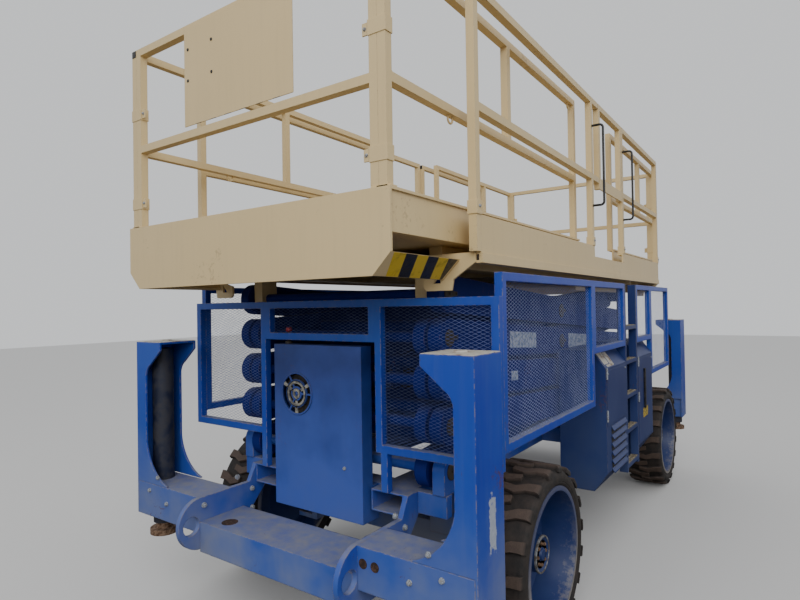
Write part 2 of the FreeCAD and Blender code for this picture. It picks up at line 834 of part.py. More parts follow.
def engine_block():
    x0 = side_inner_x + side_wall + pin_gap
    y0 = ladder_y0 - side_length + engine_end_gap
    z0 = side_bottom_z + side_wall + pin_gap
    return box(x0, x0 + engine_depth, y0, ladder_y0 - engine_end_gap, z0, z0 + engine_height)


def ladder():
    x0, x1 = guard_x - 20, guard_x + guard_bar
    parts = []
    for y in (ladder_y0, ladder_y1 - ladder_stile):
        parts.append(box(x0, x1, y, y + ladder_stile, ladder_bottom_z, guard_top_z))
    for i in range(step_count):
        z = step_first_z + i * step_pitch
        parts.append(box(x0, x1, ladder_y0 + 20, ladder_y1 - 20, z - 30, z))
    return fused(parts)


# Platform

def platform_deck():
    """Floor, edge beams and cross members; both ends are open for the extensions."""
    t = floor_thickness
    hw = deck_half_width
    y0, y1 = deck_front_y, deck_rear_y
    parts = [box(-hw + t, hw - t, y0, y1, deck_floor_z - t, deck_floor_z)]
    for side in (-1, 1):
        x0, x1 = sorted((side * (hw - t), side * hw))
        parts.append(box(x0, x1, y0, y1, deck_bottom_z, deck_sill_z))
        for z0 in (deck_bottom_z, deck_sill_z - t):
            x0, x1 = sorted((side * (hw - flange), side * hw))
            parts.append(box(x0, x1, y0, y1, z0, z0 + t))
        # lip along the foot of the edge beam
        x0, x1 = sorted((side * (hw - 1), side * (hw + lip)))
        parts.append(box(x0, x1, y0, y1, deck_bottom_z, deck_floor_z - 6))
        x0, x1 = sorted((side * inner_arm_x, side * arm_side_x))
        parts.append(box(x0, x1, y0, y1, deck_bottom_z, deck_floor_z - t))
    for y in (y0, -deck_middle - deck_member, deck_middle, y1 - deck_member):
        parts.append(box(-inner_arm_x - 1, inner_arm_x + 1, y, y + deck_member,
                         deck_bottom_z, deck_floor_z - t))
    # plates beside the extensions, at the four corners
    for side in (-1, 1):
        plate_shape = roller_plate(side)
        parts += [plate_shape, to_back(plate_shape)]
    step = box(hw - flange - 1, hw + 1, right_posts[0] + tube, gate_y1,
               deck_sill_z - step_drop, deck_sill_z + 1)
    return fused(parts).cut(step).removeSplitter()


def roller_plate(side):
    """Plate on the edge of the deck that guides an extension, with a three-cornered hole."""
    hw = deck_half_width
    z = deck_bottom_z
    points = [(hw - 205, 50 - 4), (hw - 205, -25), (hw - 300, -50), (hw - 300, -105),
              (hw - 285, -120), (hw - 150, -120), (hw - 140, -70), (hw - 25, 4), (hw - 25, 46)]
    hole = [(hw - 248, -85), (hw - 208, -85), (hw - 208, -38)]

    def cut_from(outline, y, depth):
        return prism([Vector(side * x, y, z + up) for x, up in outline], Vector(0, depth, 0))

    shape = cut_from(points, deck_front_y - plate, plate + 1)
    return shape.cut(cut_from(hole, deck_front_y - plate - 1, plate + 3))


def platform_brackets():
    """Hinge brackets at the front and roller tracks at the rear, under the deck."""
    parts = []
    for x0 in (inner_arm_x, -inner_arm_x - arm_thickness):
        block = box(x0, x0 + arm_thickness, front_pin_y - 60, front_pin_y + 60,
                    top_pin_z, deck_bottom_z)
        eye = tube_along("x", (front_pin_y, top_pin_z), 60.0, x0, x0 + arm_thickness)
        hole = tube_along("x", (front_pin_y, top_pin_z), shaft_r + pin_gap, -through, through)
        parts.append(block.fuse(eye).cut(hole))
    low = top_pin_z + roller_r + run_gap
    raised_y = front_pin_y + arm_length * math.cos(math.radians(raised_angle))
    for x0 in (outer_arm_x, -arm_side_x):
        parts.append(box(x0, x0 + arm_thickness, raised_y - 130, rear_pin_y + 120, low,
                         deck_bottom_z))
    return parts


def upright(x, y, z0, z1):
    return box(x, x + tube, y, y + tube, z0, z1)


def bar_along(x, y0, y1, z):
    return box(x, x + tube, y0, y1, z - tube, z)


def bar_across(x0, x1, y, z):
    return box(x0, x1, y, y + tube, z - tube, z)


def side_rails(x, posts, breaks):
    """Posts and two rails of one side; breaks gives the stretches that the rails cover."""
    parts = [upright(x, deck_front_y - tube, deck_floor_z, rail_top_z)]
    for y in posts + [deck_rear_y - tube]:
        parts.append(upright(x, y, deck_sill_z, rail_top_z))
    for y0, y1 in breaks:
        for z in (rail_top_z, rail_mid_z):
            parts.append(bar_along(x, y0, y1, z))
    return fused(parts)


def rails_right():
    front = deck_front_y - tube
    return side_rails(rail_in_x, right_posts,
                      [(front, gate_y0 - gate_gap), (gate_y1 + gate_gap, deck_rear_y)])


def rails_left():
    front = deck_front_y - tube
    return side_rails(-rail_out_x, left_posts,
                      [(front, left_posts[0] + tube), (left_posts[1], deck_rear_y)])


def gate():
    """Short entry gate beside the ladder: a bar and a band, hung on the post behind it."""
    x = rail_in_x
    t = tube
    parts = []
    for y in (gate_y0, gate_y1 - t):
        parts.append(box(x, x + t, y, y + t, rail_mid_z - band_height, rail_top_z))
    parts.append(box(x, x + t, gate_y0, gate_y1, rail_top_z - t, rail_top_z))
    parts.append(box(x + t - plate, x + t, gate_y0, gate_y1, rail_mid_z - band_height,
                     rail_mid_z))
    hinge_r = gate_gap / 2 - run_gap
    for z in (rail_mid_z + 60, rail_top_z - 200):
        parts.append(tube_along("z", (x, gate_y1 + gate_gap / 2), hinge_r, z - 40, z + 40))
        parts.append(box(x, x + 4, gate_y1 - 2, gate_y1 + gate_gap / 2, z - 30, z + 30))
    return fused(parts)


def grab_handles():
    """Bent black handles beside the entry."""
    handles = []
    x0 = rail_out_x
    out = x0 + handle_reach
    high = rail_top_z - 205
    low = high - handle_length
    bend = 3 * handle_r
    for y in (right_posts[0] + tube / 2, right_posts[1] + tube / 2):
        p = [Vector(x0, y, low), Vector(out - bend, y, low), Vector(out, y, low + bend),
             Vector(out, y, high - bend), Vector(out - bend, y, high), Vector(x0, y, high)]
        turn = bend * (1 - math.sqrt(0.5))
        path = Part.Wire([
            line(p[0], p[1]), arc(p[1], Vector(out - turn, y, low + turn), p[2]),
            line(p[2], p[3]), arc(p[3], Vector(out - turn, y, high - turn), p[4]),
            line(p[4], p[5]),
        ])
        section = Part.Wire(Part.makeCircle(handle_r, p[0], Vector(1, 0, 0)))
        handles.append(path.makePipeShell([section], True, True))
    return handles


# Extensions, built at the front and turned to the rear

def to_back(shape):
    return shape.mirror(Vector(0, 0, 0), Vector(0, 1, 0))


def extension_deck(inner_end):
    """Floor, edge boards and toe board; inner_end is where the floor stops."""
    w = ext_half_width
    y0 = -half_length
    c = ext_chamfer
    toe = prism([
        Vector(-w, y0, ext_top_z), Vector(w, y0, ext_top_z),
        Vector(w, y0, ext_bottom_z + c), Vector(w - c, y0, ext_bottom_z),
        Vector(-w + c, y0, ext_bottom_z), Vector(-w, y0, ext_bottom_z + c),
    ], Vector(0, plate, 0))
    floor = deck_floor_z + ext_deck_gap
    beam_out = ext_beam_x + plate
    parts = [toe, box(-beam_out, beam_out, y0, inner_end, floor, floor + plate)]
    for side in (-1, 1):
        x0, x1 = sorted((side * ext_beam_x, side * (ext_beam_x + plate)))
        parts.append(box(x0, x1, y0, inner_end, floor, ext_top_z))
        x0, x1 = sorted((side * ext_rail_x, side * w))
        parts.append(box(x0, x1, y0, inner_end, ext_top_z - plate, ext_top_z))
        # sloped panel behind the chamfer, as far as the guide plate
        slope = prism([
            Vector(side * (w - c), y0, ext_bottom_z),
            Vector(side * w, y0, ext_bottom_z + c),
            Vector(side * (w - 30), y0, ext_bottom_z + c),
            Vector(side * (w - 30), y0, ext_bottom_z + c - ext_panel),
            Vector(side * (w - 30 - ext_panel), y0, ext_bottom_z + c - ext_panel),
            Vector(side * (w - c), y0, ext_bottom_z + 1.5 * ext_panel),
        ], Vector(0, deck_front_y - plate - 6 - y0, 0))
        parts.append(slope)
        # wear strip that slides on the main floor
        x0, x1 = sorted((side * wear_strip_x, side * (wear_strip_x + wear_strip)))
        parts.append(box(x0, x1, deck_front_y + 60, inner_end, deck_floor_z + run_gap, floor))
    return fused(parts)


def extension_side(x, inner_end, mid_post):
    """Side rail of an extension; its middle post stands between the two rails."""
    y0 = -half_length + plate
    parts = [
        upright(x, y0, ext_top_z, rail_top_z),
        upright(x, mid_post, rail_mid_z - 1, rail_top_z),
        upright(x, inner_end - tube, ext_top_z, rail_top_z),
    ]
    for z in (rail_top_z, rail_mid_z):
        parts.append(bar_along(x, y0, inner_end, z))
    return fused(parts)


def extension_end():
    """End frame of an extension: its own two posts beside those of the side rails."""
    x = ext_rail_x - run_gap
    y0 = -half_length + plate
    parts = [upright(x0, y0, ext_top_z, rail_top_z) for x0 in (-x, x - tube)]
    parts += [bar_across(-x, x, y0, z) for z in (rail_top_z, rail_mid_z)]
    return parts


def extension_front():
    """Front end frame with a flat sheet panel between its rails."""
    y0 = -half_length + plate
    panel = box(-panel_half_width, panel_half_width, y0 - 4, y0, rail_mid_z + panel_drop,
                rail_top_z - panel_drop)
    return fused(extension_end() + [panel])


# Write every piece

save("chassis_rails", chassis_rails())
save("chassis_members", chassis_members())
save("front_crossbeam", crossbeam())
save("front_lugs", lug_pair(True))
save("rear_crossbeam", [at_rear(shape) for shape in crossbeam()])
save("rear_lugs", [at_rear(shape) for shape in lug_pair(False)])

right_tower = tower()
barrel = jack_barrel()
leg = jack_leg()
corners = {
    "fr": lambda s: s,
    "fl": mirrored,
    "rr": at_rear,
    "rl": lambda s: at_rear(mirrored(s)),
}
save("towers", [place(right_tower) for place in corners.values()])
save("jack_barrels", [place(barrel) for place in corners.values()])
for corner, place in corners.items():
    save("jack_leg_" + corner, place(leg))

save("base_stand", [pivot_stand()] + base_tracks())
for number in range(1, arm_levels + 1):
    save("inner_arms_%d" % number, inner_pair(number))
    save("outer_arms_%d" % number, outer_pair(number))
lift_barrel, lift_rod = lift_cylinder()
save("lift_barrel", lift_barrel)
save("lift_rod", lift_rod)

right_rim = rim()
right_tyre = tyre()
axles = {"f": front_axle_y, "r": rear_axle_y}
for end, y_axle in axles.items():
    for hand, sign in (("l", -1), ("r", 1)):
        save("rim_" + end + hand, wheel_at(right_rim, sign, y_axle))
        save("tyre_" + end + hand, wheel_at(right_tyre, sign, y_axle))
right_knuckle = knuckle()
save("knuckle_r", right_knuckle)
save("knuckle_l", mirrored(right_knuckle))
save("tie_rod", tie_rod())
save("front_axle", front_axle())
save("rear_axle", rear_axle())

save("front_cabinet", front_cabinet())
save("side_cabinets", side_cabinets())
save("engine_block", engine_block())
save("front_guard", front_guard())
save("side_guards", side_guards())
save("mesh_sheets", mesh_sheets())
save("ladder", ladder())

save("platform_deck", platform_deck())
save("platform_brackets", platform_brackets())
save("rails_right", rails_right())
save("rails_left", rails_left())
save("gate", gate())
save("grab_handles", grab_handles())
rail_places = (ext_rail_x, -ext_rail_x - tube)
save("extension_deck", extension_deck(front_ext_end))
save("extension_side_rails",
     [extension_side(x, front_ext_end, front_mid_post) for x in rail_places])
save("extension_front_rails", extension_front())
save("rear_extension_deck", to_back(extension_deck(-rear_ext_end)))
save("rear_extension_side_rails",
     [to_back(extension_side(x, -rear_ext_end, -rear_mid_post - tube)) for x in rail_places])
save("rails_rear", to_back(fused(extension_end())))
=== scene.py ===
# %% [markdown]
# # Dressing a rough-terrain scissor lift
# The machine arrives as a frame: every steel piece is already at its real size and place.
# This lesson adds what metal shapes alone don't have: weathered paint, dust, rubber,
# expanded-metal guards, bolts and tape. Each step says what the piece is on the real
# machine, how it could be made, and why it is made this way.

# %% Load the frame and keep its box
import math

import bmesh
import bpy
from mathutils import Matrix, Vector


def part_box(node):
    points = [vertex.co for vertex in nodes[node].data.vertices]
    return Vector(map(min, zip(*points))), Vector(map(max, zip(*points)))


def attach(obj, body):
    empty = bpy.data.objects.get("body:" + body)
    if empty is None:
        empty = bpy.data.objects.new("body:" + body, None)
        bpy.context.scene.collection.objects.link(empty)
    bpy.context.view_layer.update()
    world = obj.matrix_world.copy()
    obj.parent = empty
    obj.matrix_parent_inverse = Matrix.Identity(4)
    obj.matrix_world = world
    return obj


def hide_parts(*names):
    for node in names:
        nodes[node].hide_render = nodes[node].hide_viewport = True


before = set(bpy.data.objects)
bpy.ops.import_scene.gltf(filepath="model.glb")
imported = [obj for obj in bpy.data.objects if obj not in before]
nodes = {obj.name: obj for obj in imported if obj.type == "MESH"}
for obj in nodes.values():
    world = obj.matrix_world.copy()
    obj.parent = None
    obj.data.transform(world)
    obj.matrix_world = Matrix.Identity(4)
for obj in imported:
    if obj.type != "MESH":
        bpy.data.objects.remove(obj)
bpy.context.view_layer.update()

scene = bpy.context.scene
MM = 0.001

# %% [markdown]
# ## The camera
# The photograph was taken standing close to the right front corner, at eye height, with a
# wide lens held almost level. A camera could be aimed with a Track To constraint, but the
# measured turn, tilt and roll are known, so its three axes are written out directly.

# %% Camera
camera_place = Vector((2.13, -4.254, 1.79))
camera_turn, camera_tilt, camera_roll = (math.radians(a) for a in (35.04, 0.67, -0.9))

level = Vector((-math.sin(camera_turn), math.cos(camera_turn), 0))
across = Vector((math.cos(camera_turn), math.sin(camera_turn), 0))
upward = Vector((0, 0, 1))
ahead = level * math.cos(camera_tilt) + upward * math.sin(camera_tilt)
top = upward * math.cos(camera_tilt) - level * math.sin(camera_tilt)
right = across * math.cos(camera_roll) + top * math.sin(camera_roll)
top = top * math.cos(camera_roll) - across * math.sin(camera_roll)

camera_data = bpy.data.cameras.new("photo_camera")
camera_data.lens = 25.2
camera_data.sensor_width = 36.0
camera = bpy.data.objects.new("photo_camera", camera_data)
scene.collection.objects.link(camera)
turned = Matrix((right, top, -ahead)).transposed().to_4x4()
camera.matrix_world = Matrix.Translation(camera_place) @ turned
scene.camera = camera
print("camera stands", round(camera_place.z, 2), "m high, lens", camera_data.lens, "mm")

# %% [markdown]
# ## Helpers for materials
# Paint shops name colours as screen values, which are sRGB, while the renderer adds light
# in linear values. One function turns a hex colour into the linear one. A second one adds a
# shader node with its settings and its links, so that a material reads as a short recipe,
# and a third one starts an empty recipe.


# %% Colour, node and material helpers
def linear(hex_colour):
    """Linear RGBA of an sRGB colour such as '#C9B698'."""
    parts = [int(hex_colour[i:i + 2], 16) / 255 for i in (1, 3, 5)]
    return [p / 12.92 if p <= 0.04045 else ((p + 0.055) / 1.055) ** 2.4 for p in parts] + [1]


def node(tree, kind, inputs=None, **settings):
    """Add a node. inputs maps a socket's name or number to a value, to another socket, or to
    a node, which gives its first output in use."""
    made = tree.nodes.new("ShaderNode" + kind)
    for key, value in settings.items():
        setattr(made, key, value)
    for key, value in (inputs or {}).items():
        if isinstance(value, bpy.types.Node):
            value = next(socket for socket in value.outputs if socket.enabled)
        if isinstance(value, bpy.types.NodeSocket):
            tree.links.new(value, made.inputs[key])
        else:
            made.inputs[key].default_value = value
    return made


def recipe(owner):
    """Empty the node tree of a material or of the sky, and return it."""
    owner.use_nodes = True
    owner.node_tree.nodes.clear()
    return owner.node_tree


def coat(name):
    """An empty material, its tree, and the place on the machine in metres."""
    material = bpy.data.materials.new(name)
    tree = recipe(material)
    return material, tree, node(tree, "TexCoord").outputs["Object"]


print("a chassis blue in linear light:", [round(v, 3) for v in linear("#2450A6")[:3]])

# %% [markdown]
# ## A plain studio
# The machine stands on a pale floor with no walls. The sky overhead is a soft white dome, as
# on the overcast day of the photograph, and one large lamp in front gives the faces a little
# shape. The floor looks pale to the camera but sends back only as much light as packed
# gravel would, so the underside of the machine stays as dark as it really is.

# %% Floor, sky and lamp
stage_half = 30.0
floor_mesh = bpy.data.meshes.new("studio_floor")
floor_mesh.from_pydata([(-stage_half, -stage_half, 0), (stage_half, -stage_half, 0),
                        (stage_half, stage_half, 0), (-stage_half, stage_half, 0)], [],
                       [(0, 1, 2, 3)])
studio_floor = bpy.data.objects.new("studio_floor", floor_mesh)
scene.collection.objects.link(studio_floor)

pale_floor = bpy.data.materials.new("studio_pale_floor")
tree = recipe(pale_floor)
rays = node(tree, "LightPath")
seen = node(tree, "BsdfDiffuse", {"Color": linear("#DAD9D6")})
bounced = node(tree, "BsdfDiffuse", {"Color": linear("#6B6862")})
chosen = node(tree, "MixShader", {0: rays.outputs["Is Camera Ray"], 1: bounced, 2: seen})
node(tree, "OutputMaterial", {"Surface": chosen})
floor_mesh.materials.append(pale_floor)

world = bpy.data.worlds.new("overcast_sky")
scene.world = world
tree = recipe(world)
rays = node(tree, "LightPath")
plain = node(tree, "Math", {0: rays.outputs["Is Camera Ray"], 1: rays.outputs["Is Glossy Ray"]},
             operation="MAXIMUM")
plain = node(tree, "Math", {0: plain, 1: rays.outputs["Is Transmission Ray"]},
             operation="MAXIMUM")
sky = node(tree, "Background", {"Color": linear("#F4F6FA"), "Strength": 0.85})
backdrop = node(tree, "Background", {"Color": linear("#E4E6E8"), "Strength": 1.0})
chosen = node(tree, "MixShader", {0: plain, 1: sky, 2: backdrop})
node(tree, "OutputWorld", {"Surface": chosen})

lamp_data = bpy.data.lights.new("soft_key", "AREA")
lamp_data.size = 7.0
lamp_data.energy = 480.0
lamp = bpy.data.objects.new("soft_key", lamp_data)
scene.collection.objects.link(lamp)
lamp.location = (5.0, -8.5, 6.5)
lamp_target = Vector((0, 0, 1.5))
lamp.rotation_euler = (lamp_target - lamp.location).to_track_quat("-Z", "Y").to_euler()
print("floor", 2 * stage_half, "m across, lamp", lamp_data.energy, "W")

# %% [markdown]
# ## Alkyd enamel on steel
# Site machines are sprayed with alkyd enamel, one thick gloss coat that chalks in the sun.
# Out of doors the same things happen to it everywhere: it fades, dust settles on what faces
# up and splashes on what is low, corners lose their paint, and rust starts at each chip.
# A painted map per piece could hold all this, but the machine has forty steel pieces, so one
# recipe reads the position in metres, the slope of the face and the nearness of an edge.


# %% Enamel recipe
def enamel(name, paint, paler_colour, dust, low_band=(0.2, 1.1), fade_share=0.55, dust_share=0.55,
           bare="#7A5B45", rust="#5E3A26", edge_mm=7.0, edge_share=0.55, chip_from=0.5,
           rust_share=0.35, streak_share=0.25, gloss=0.42, sheen=0.5, plate=None):
    """Weathered enamel. The low band gives the heights, in metres, over which the dust thins out;
    on the front cabinet the same band paints the deck's shade, dark above and paler below.
    A lower chip_from wears more of the edges; sheen falls where oil and dust dull the coat;
    plate is the centre and half size of a blank pale sheet glued on the paint."""
    material, tree, place = coat(name)
    facing = node(tree, "NewGeometry").outputs["Normal"]
    height = node(tree, "SeparateXYZ", {0: place}).outputs["Z"]
    slope = node(tree, "SeparateXYZ", {0: facing})

    # sun-faded areas, about 0.55 m across, broken by spots of 60 mm
    broad = node(tree, "TexNoise", {"Vector": place, "Scale": 1 / (550 * MM), "Detail": 4.0,
                                    "Roughness": 0.6})
    broad = node(tree, "MapRange", {"Value": broad, "From Min": 0.36, "From Max": 0.64,
                                    "To Min": 0.1, "To Max": 0.9})
    fine = node(tree, "TexNoise", {"Vector": place, "Scale": 1 / (60 * MM), "Detail": 4.0,
                                   "Roughness": 0.6})
    # painted shade on the front cabinet: there this band keeps the coat dark above, as the deck's
    # shade, and paler lower down
    low = node(tree, "MapRange", {"Value": height, "From Min": low_band[0], "From Max": low_band[1],
                                  "To Min": 1.0, "To Max": 0.0})
    spread = node(tree, "Math", {0: broad, 1: 0.5}, operation="MULTIPLY")
    spread = node(tree, "Math", {0: low, 1: 0.6, 2: spread}, operation="MULTIPLY_ADD")
    # faces turned to the front are painted paler: partly road dirt, partly painted light from the
    # open sky in front
    front = node(tree, "MapRange", {"Value": slope.outputs["Y"], "From Min": -0.3,
                                    "From Max": -0.9, "To Max": 0.25})
    fade_and_painted_light = node(tree, "Math", {0: spread, 1: fade_share * 1.6, 2: front},
                operation="MULTIPLY_ADD", use_clamp=True)

    # rain streaks of 30 mm, drawn out to half a metre along Z
    stretched = node(tree, "Mapping", {"Vector": place, "Scale": (1 / (30 * MM), 1 / (30 * MM),
                                                                  1 / (500 * MM))})
    streaks = node(tree, "TexNoise", {"Vector": stretched, "Scale": 1.0, "Detail": 3.0})
    streaks = node(tree, "MapRange", {"Value": streaks, "From Min": 0.5, "From Max": 0.72,
                                      "To Max": streak_share})

    # settled dust on faces that look up, and splashed dust low down
    flat = node(tree, "MapRange", {"Value": slope.outputs["Z"], "From Min": 0.55,
                                   "From Max": 0.98})
    patchy = node(tree, "MapRange", {"Value": fine, "From Min": 0.3, "From Max": 0.7,
                                     "To Min": 0.5, "To Max": 1.0})
    settled = node(tree, "Math", {0: flat, 1: patchy}, operation="MULTIPLY")
    wet = node(tree, "Math", {0: low, 1: broad}, operation="MULTIPLY")
    dusty = node(tree, "Math", {0: settled, 1: wet}, operation="MAXIMUM")
    dusty = node(tree, "Math", {0: dusty, 1: dust_share}, operation="MULTIPLY", use_clamp=True)

    # worn corners: where a rounded normal leaves the flat one, the coat has chipped
    softened = node(tree, "Bevel", {"Radius": edge_mm * MM}, samples=4)
    kept = node(tree, "VectorMath", {0: softened, 1: facing}, operation="DOT_PRODUCT")
    near = node(tree, "MapRange", {"Value": kept, "From Min": 0.995, "From Max": 0.86})
    chips = node(tree, "TexNoise", {"Vector": place, "Scale": 1 / (35 * MM), "Detail": 5.0,
                                    "Roughness": 0.7})
    chipped = node(tree, "MapRange", {"Value": chips, "From Min": chip_from,
                                      "From Max": chip_from + 0.08})
    worn = node(tree, "Math", {0: near, 1: chipped}, operation="MULTIPLY")
    worn = node(tree, "Math", {0: worn, 1: edge_share}, operation="MULTIPLY", use_clamp=True)

    # rust spots of about 12 mm, half of the noise's step, in loose groups
    spots = node(tree, "TexNoise", {"Vector": place, "Scale": 1 / (24 * MM), "Detail": 6.0,
                                    "Roughness": 0.75})
    groups = node(tree, "TexNoise", {"Vector": place, "Scale": 1 / (330 * MM), "Detail": 2.0})
    both = node(tree, "Math", {0: spots, 1: groups}, operation="MULTIPLY")
    rusty = node(tree, "MapRange", {"Value": both, "From Min": 0.38, "From Max": 0.42,
                                    "To Max": rust_share})

    # each layer covers its share of the ones below it
    colour = linear(paint)
    for share, over in ((fade_and_painted_light, paler_colour), (streaks, dust), (dusty, dust), (worn, bare),
                        (rusty, rust)):
        colour = node(tree, "Mix", {0: share, 6: colour, 7: linear(over)}, data_type="RGBA")

    if plate:
        # blank sheet with a torn outline and scratches
        away = node(tree, "VectorMath", {0: place, 1: plate[0]}, operation="SUBTRACT")
        away = node(tree, "VectorMath", {0: away}, operation="ABSOLUTE")
        away = node(tree, "VectorMath", {0: away, 1: plate[1]}, operation="DIVIDE")
        torn = node(tree, "SeparateXYZ", {0: away})
        most = node(tree, "Math", {0: torn.outputs["Y"], 1: torn.outputs["Z"]},
                    operation="MAXIMUM")
        most = node(tree, "Math", {0: most, 1: torn.outputs["X"]}, operation="MAXIMUM")
        most = node(tree, "Math", {0: chips, 1: 1.5, 2: most}, operation="MULTIPLY_ADD")
        stuck = node(tree, "MapRange", {"Value": most, "From Min": 1.62, "From Max": 1.54,
                                        "To Max": 0.9})
        scratched = node(tree, "Mix", {0: spots, 6: linear("#C9CED2"), 7: linear("#8B93A6")},
                         data_type="RGBA")
        colour = node(tree, "Mix", {0: stuck, 6: colour, 7: scratched}, data_type="RGBA")

    rough = node(tree, "Math", {0: dusty, 1: 0.35, 2: gloss}, operation="MULTIPLY_ADD")
    rough = node(tree, "Math", {0: worn, 1: 0.3, 2: rough}, operation="MULTIPLY_ADD",
                 use_clamp=True)
    # hand-sprayed coats dry with a faint orange peel of about 4 mm, over dents of 160 mm
    peel = node(tree, "TexNoise", {"Vector": place, "Scale": 1 / (4 * MM), "Detail": 1.0})
    dents = node(tree, "TexNoise", {"Vector": place, "Scale": 1 / (160 * MM), "Detail": 1.0})
    relief = node(tree, "Math", {0: peel, 1: 0.02, 2: dents}, operation="MULTIPLY_ADD")
    bump = node(tree, "Bump", {"Height": relief, "Strength": 0.35, "Distance": 4 * MM,
                               "Normal": softened})
    shader = node(tree, "BsdfPrincipled", {"Base Color": colour, "Roughness": rough, "IOR": 1.5,
                                           "Specular IOR Level": sheen, "Normal": bump})
    node(tree, "OutputMaterial", {"Surface": shader})
    return material


print("enamel recipe: five layers over the paint, and a blank plate where one is glued on")

# %% [markdown]
# ## Five coats from one recipe
# The machine has two colours, ultramarine blue and cream, yet its blue looks different on every
# part, since each hangs in other weather and other light: the coats of the arms, the cabinets
# and the ladder are painted darker with the shade they stand in. Repainting by hand would take
# a map each. Here every coat is one call that says how high the splashed dust reaches and how
# much has worn away.

# %% The machine's enamels
# Ultramarine-blue enamel, chalked and splashed: the fronts look pale and matt low down.
chassis_enamel = enamel("chassis_blue_enamel", "#1035A6", "#3663B6", "#8B8C92",
                        low_band=(0.40, 1.10), fade_share=0.5, dust_share=0.95, bare="#9A8E84",
                        edge_mm=8.0, edge_share=0.9, chip_from=0.46,
                        rust_share=0.6, streak_share=0.05, sheen=0.35,
                        plate=((1.150, -2.246, 0.930), (0.01, 0.034, 0.125)))
# The front cabinet stands under the deck: its coat is painted dark above as the deck's shade on
# it, and paler lower down.
cabinet_shaded_enamel = enamel("cabinet_blue_enamel_painted_shade", "#101B48", "#3A58B0", "#606C8C",
                        low_band=(0.55, 1.50), fade_share=0.7, dust_share=0.35, bare="#6B6460",
                        edge_mm=5.0, edge_share=0.5, rust_share=0.2, streak_share=0.04)
# The side cabinets and the ladder hang in the shade of the deck: their coat is painted darker as
# that shade, and dull with oily dust.
side_shaded_enamel = enamel("side_blue_enamel_painted_shade", "#1B2B64", "#33457A", "#4E566C",
                     low_band=(0.50, 1.40), fade_share=0.5, dust_share=0.5, bare="#6F6862",
                     edge_mm=6.0, edge_share=0.8, rust_share=0.4, streak_share=0.05,
                     sheen=0.25)
# The same enamel on the arms, painted a darker blue as the shade the arms stand in, under grease.
arm_shaded_enamel = enamel("arm_blue_enamel_painted_shade", "#0E1E6A", "#182C80", "#50525C",
                    low_band=(0.2, 0.9), fade_share=0.3, dust_share=0.5, streak_share=0.04,
                    gloss=0.6, sheen=0.12)
# Cream enamel of the platform, sound and clean apart from dirty streaks and chips.
platform_enamel = enamel("platform_cream_enamel", "#D8BF8B", "#DEC695", "#A59070",
                         low_band=(-1.0, 0.0), fade_share=0.5, dust_share=0.25, bare="#6B5138",
                         rust="#6E4A30", edge_mm=3.0, edge_share=0.4, rust_share=0.3,
                         streak_share=0.07, gloss=0.45)
print("enamels:", chassis_enamel.name, arm_shaded_enamel.name, platform_enamel.name)

# %% [markdown]
# ## Rubber, stained metals and small finishes
# The tyres are solid-looking earthmover rubber: carbon black under a coat of brown road
# dust that dries on the lugs, while the grooves are left black as painted shade between the
# lugs. Reading the distance from the wheel's axis tells lugs from grooves without a painted
# map. Every other finish on the machine is one clean colour and one stain in blotches, so a
# single recipe serves steel, tape and plastic.


# %% Rubber and stain recipes
def wheel_radius(tree, place, axis_places):
    """Distance of a point from the nearest wheel axis, as a node; axis_places lists (y, z)."""
    xyz = node(tree, "SeparateXYZ", {0: place})
    found = []
    for y, z in axis_places:
        flat = node(tree, "CombineXYZ", {"Y": xyz.outputs["Y"], "Z": xyz.outputs["Z"]})
        found.append(node(tree, "VectorMath", {0: flat, 1: (0, y, z)}, operation="DISTANCE"))
    return node(tree, "Math", {0: found[0], 1: found[-1]}, operation="MINIMUM")


def dusty_rubber(name, axis_places, crown):
    """Black rubber under dust on the lug tops, left black in the grooves as painted shade; crown
    is the radius of the lug tops.
    """
    material, tree, place = coat(name)
    radius = wheel_radius(tree, place, axis_places)
    mud = node(tree, "TexNoise", {"Vector": place, "Scale": 1 / (50 * MM), "Detail": 5.0,
                                  "Roughness": 0.65})
    # painted shade: only the lug tops take the dust, the grooves below stay black as the shade
    # between the lugs
    lug_dust_and_groove_shade = node(tree, "MapRange", {"Value": radius, "From Min": crown,
                                   "From Max": crown - 22 * MM, "To Min": 0.72, "To Max": 0.0})
    cover = node(tree, "Math", {0: mud, 1: 0.8, 2: -0.25}, operation="MULTIPLY_ADD")
    cover = node(tree, "Math", {0: cover, 1: lug_dust_and_groove_shade}, operation="ADD", use_clamp=True)
    grit = node(tree, "TexNoise", {"Vector": place, "Scale": 1 / (4 * MM), "Detail": 3.0})
    dust = node(tree, "Mix", {0: grit, 6: linear("#443731"), 7: linear("#6C5A4E")},
                data_type="RGBA")
    colour = node(tree, "Mix", {0: cover, 6: linear("#1E1D1D"), 7: dust}, data_type="RGBA")
    bump = node(tree, "Bump", {"Height": mud, "Strength": 0.5, "Distance": 3 * MM})
    # rubber has an IOR near 1.52 and a matt, chalky surface once it has aged
    shader = node(tree, "BsdfPrincipled", {"Base Color": colour, "Roughness": 0.82,
                                           "IOR": 1.52, "Normal": bump})
    node(tree, "OutputMaterial", {"Surface": shader})
    return material


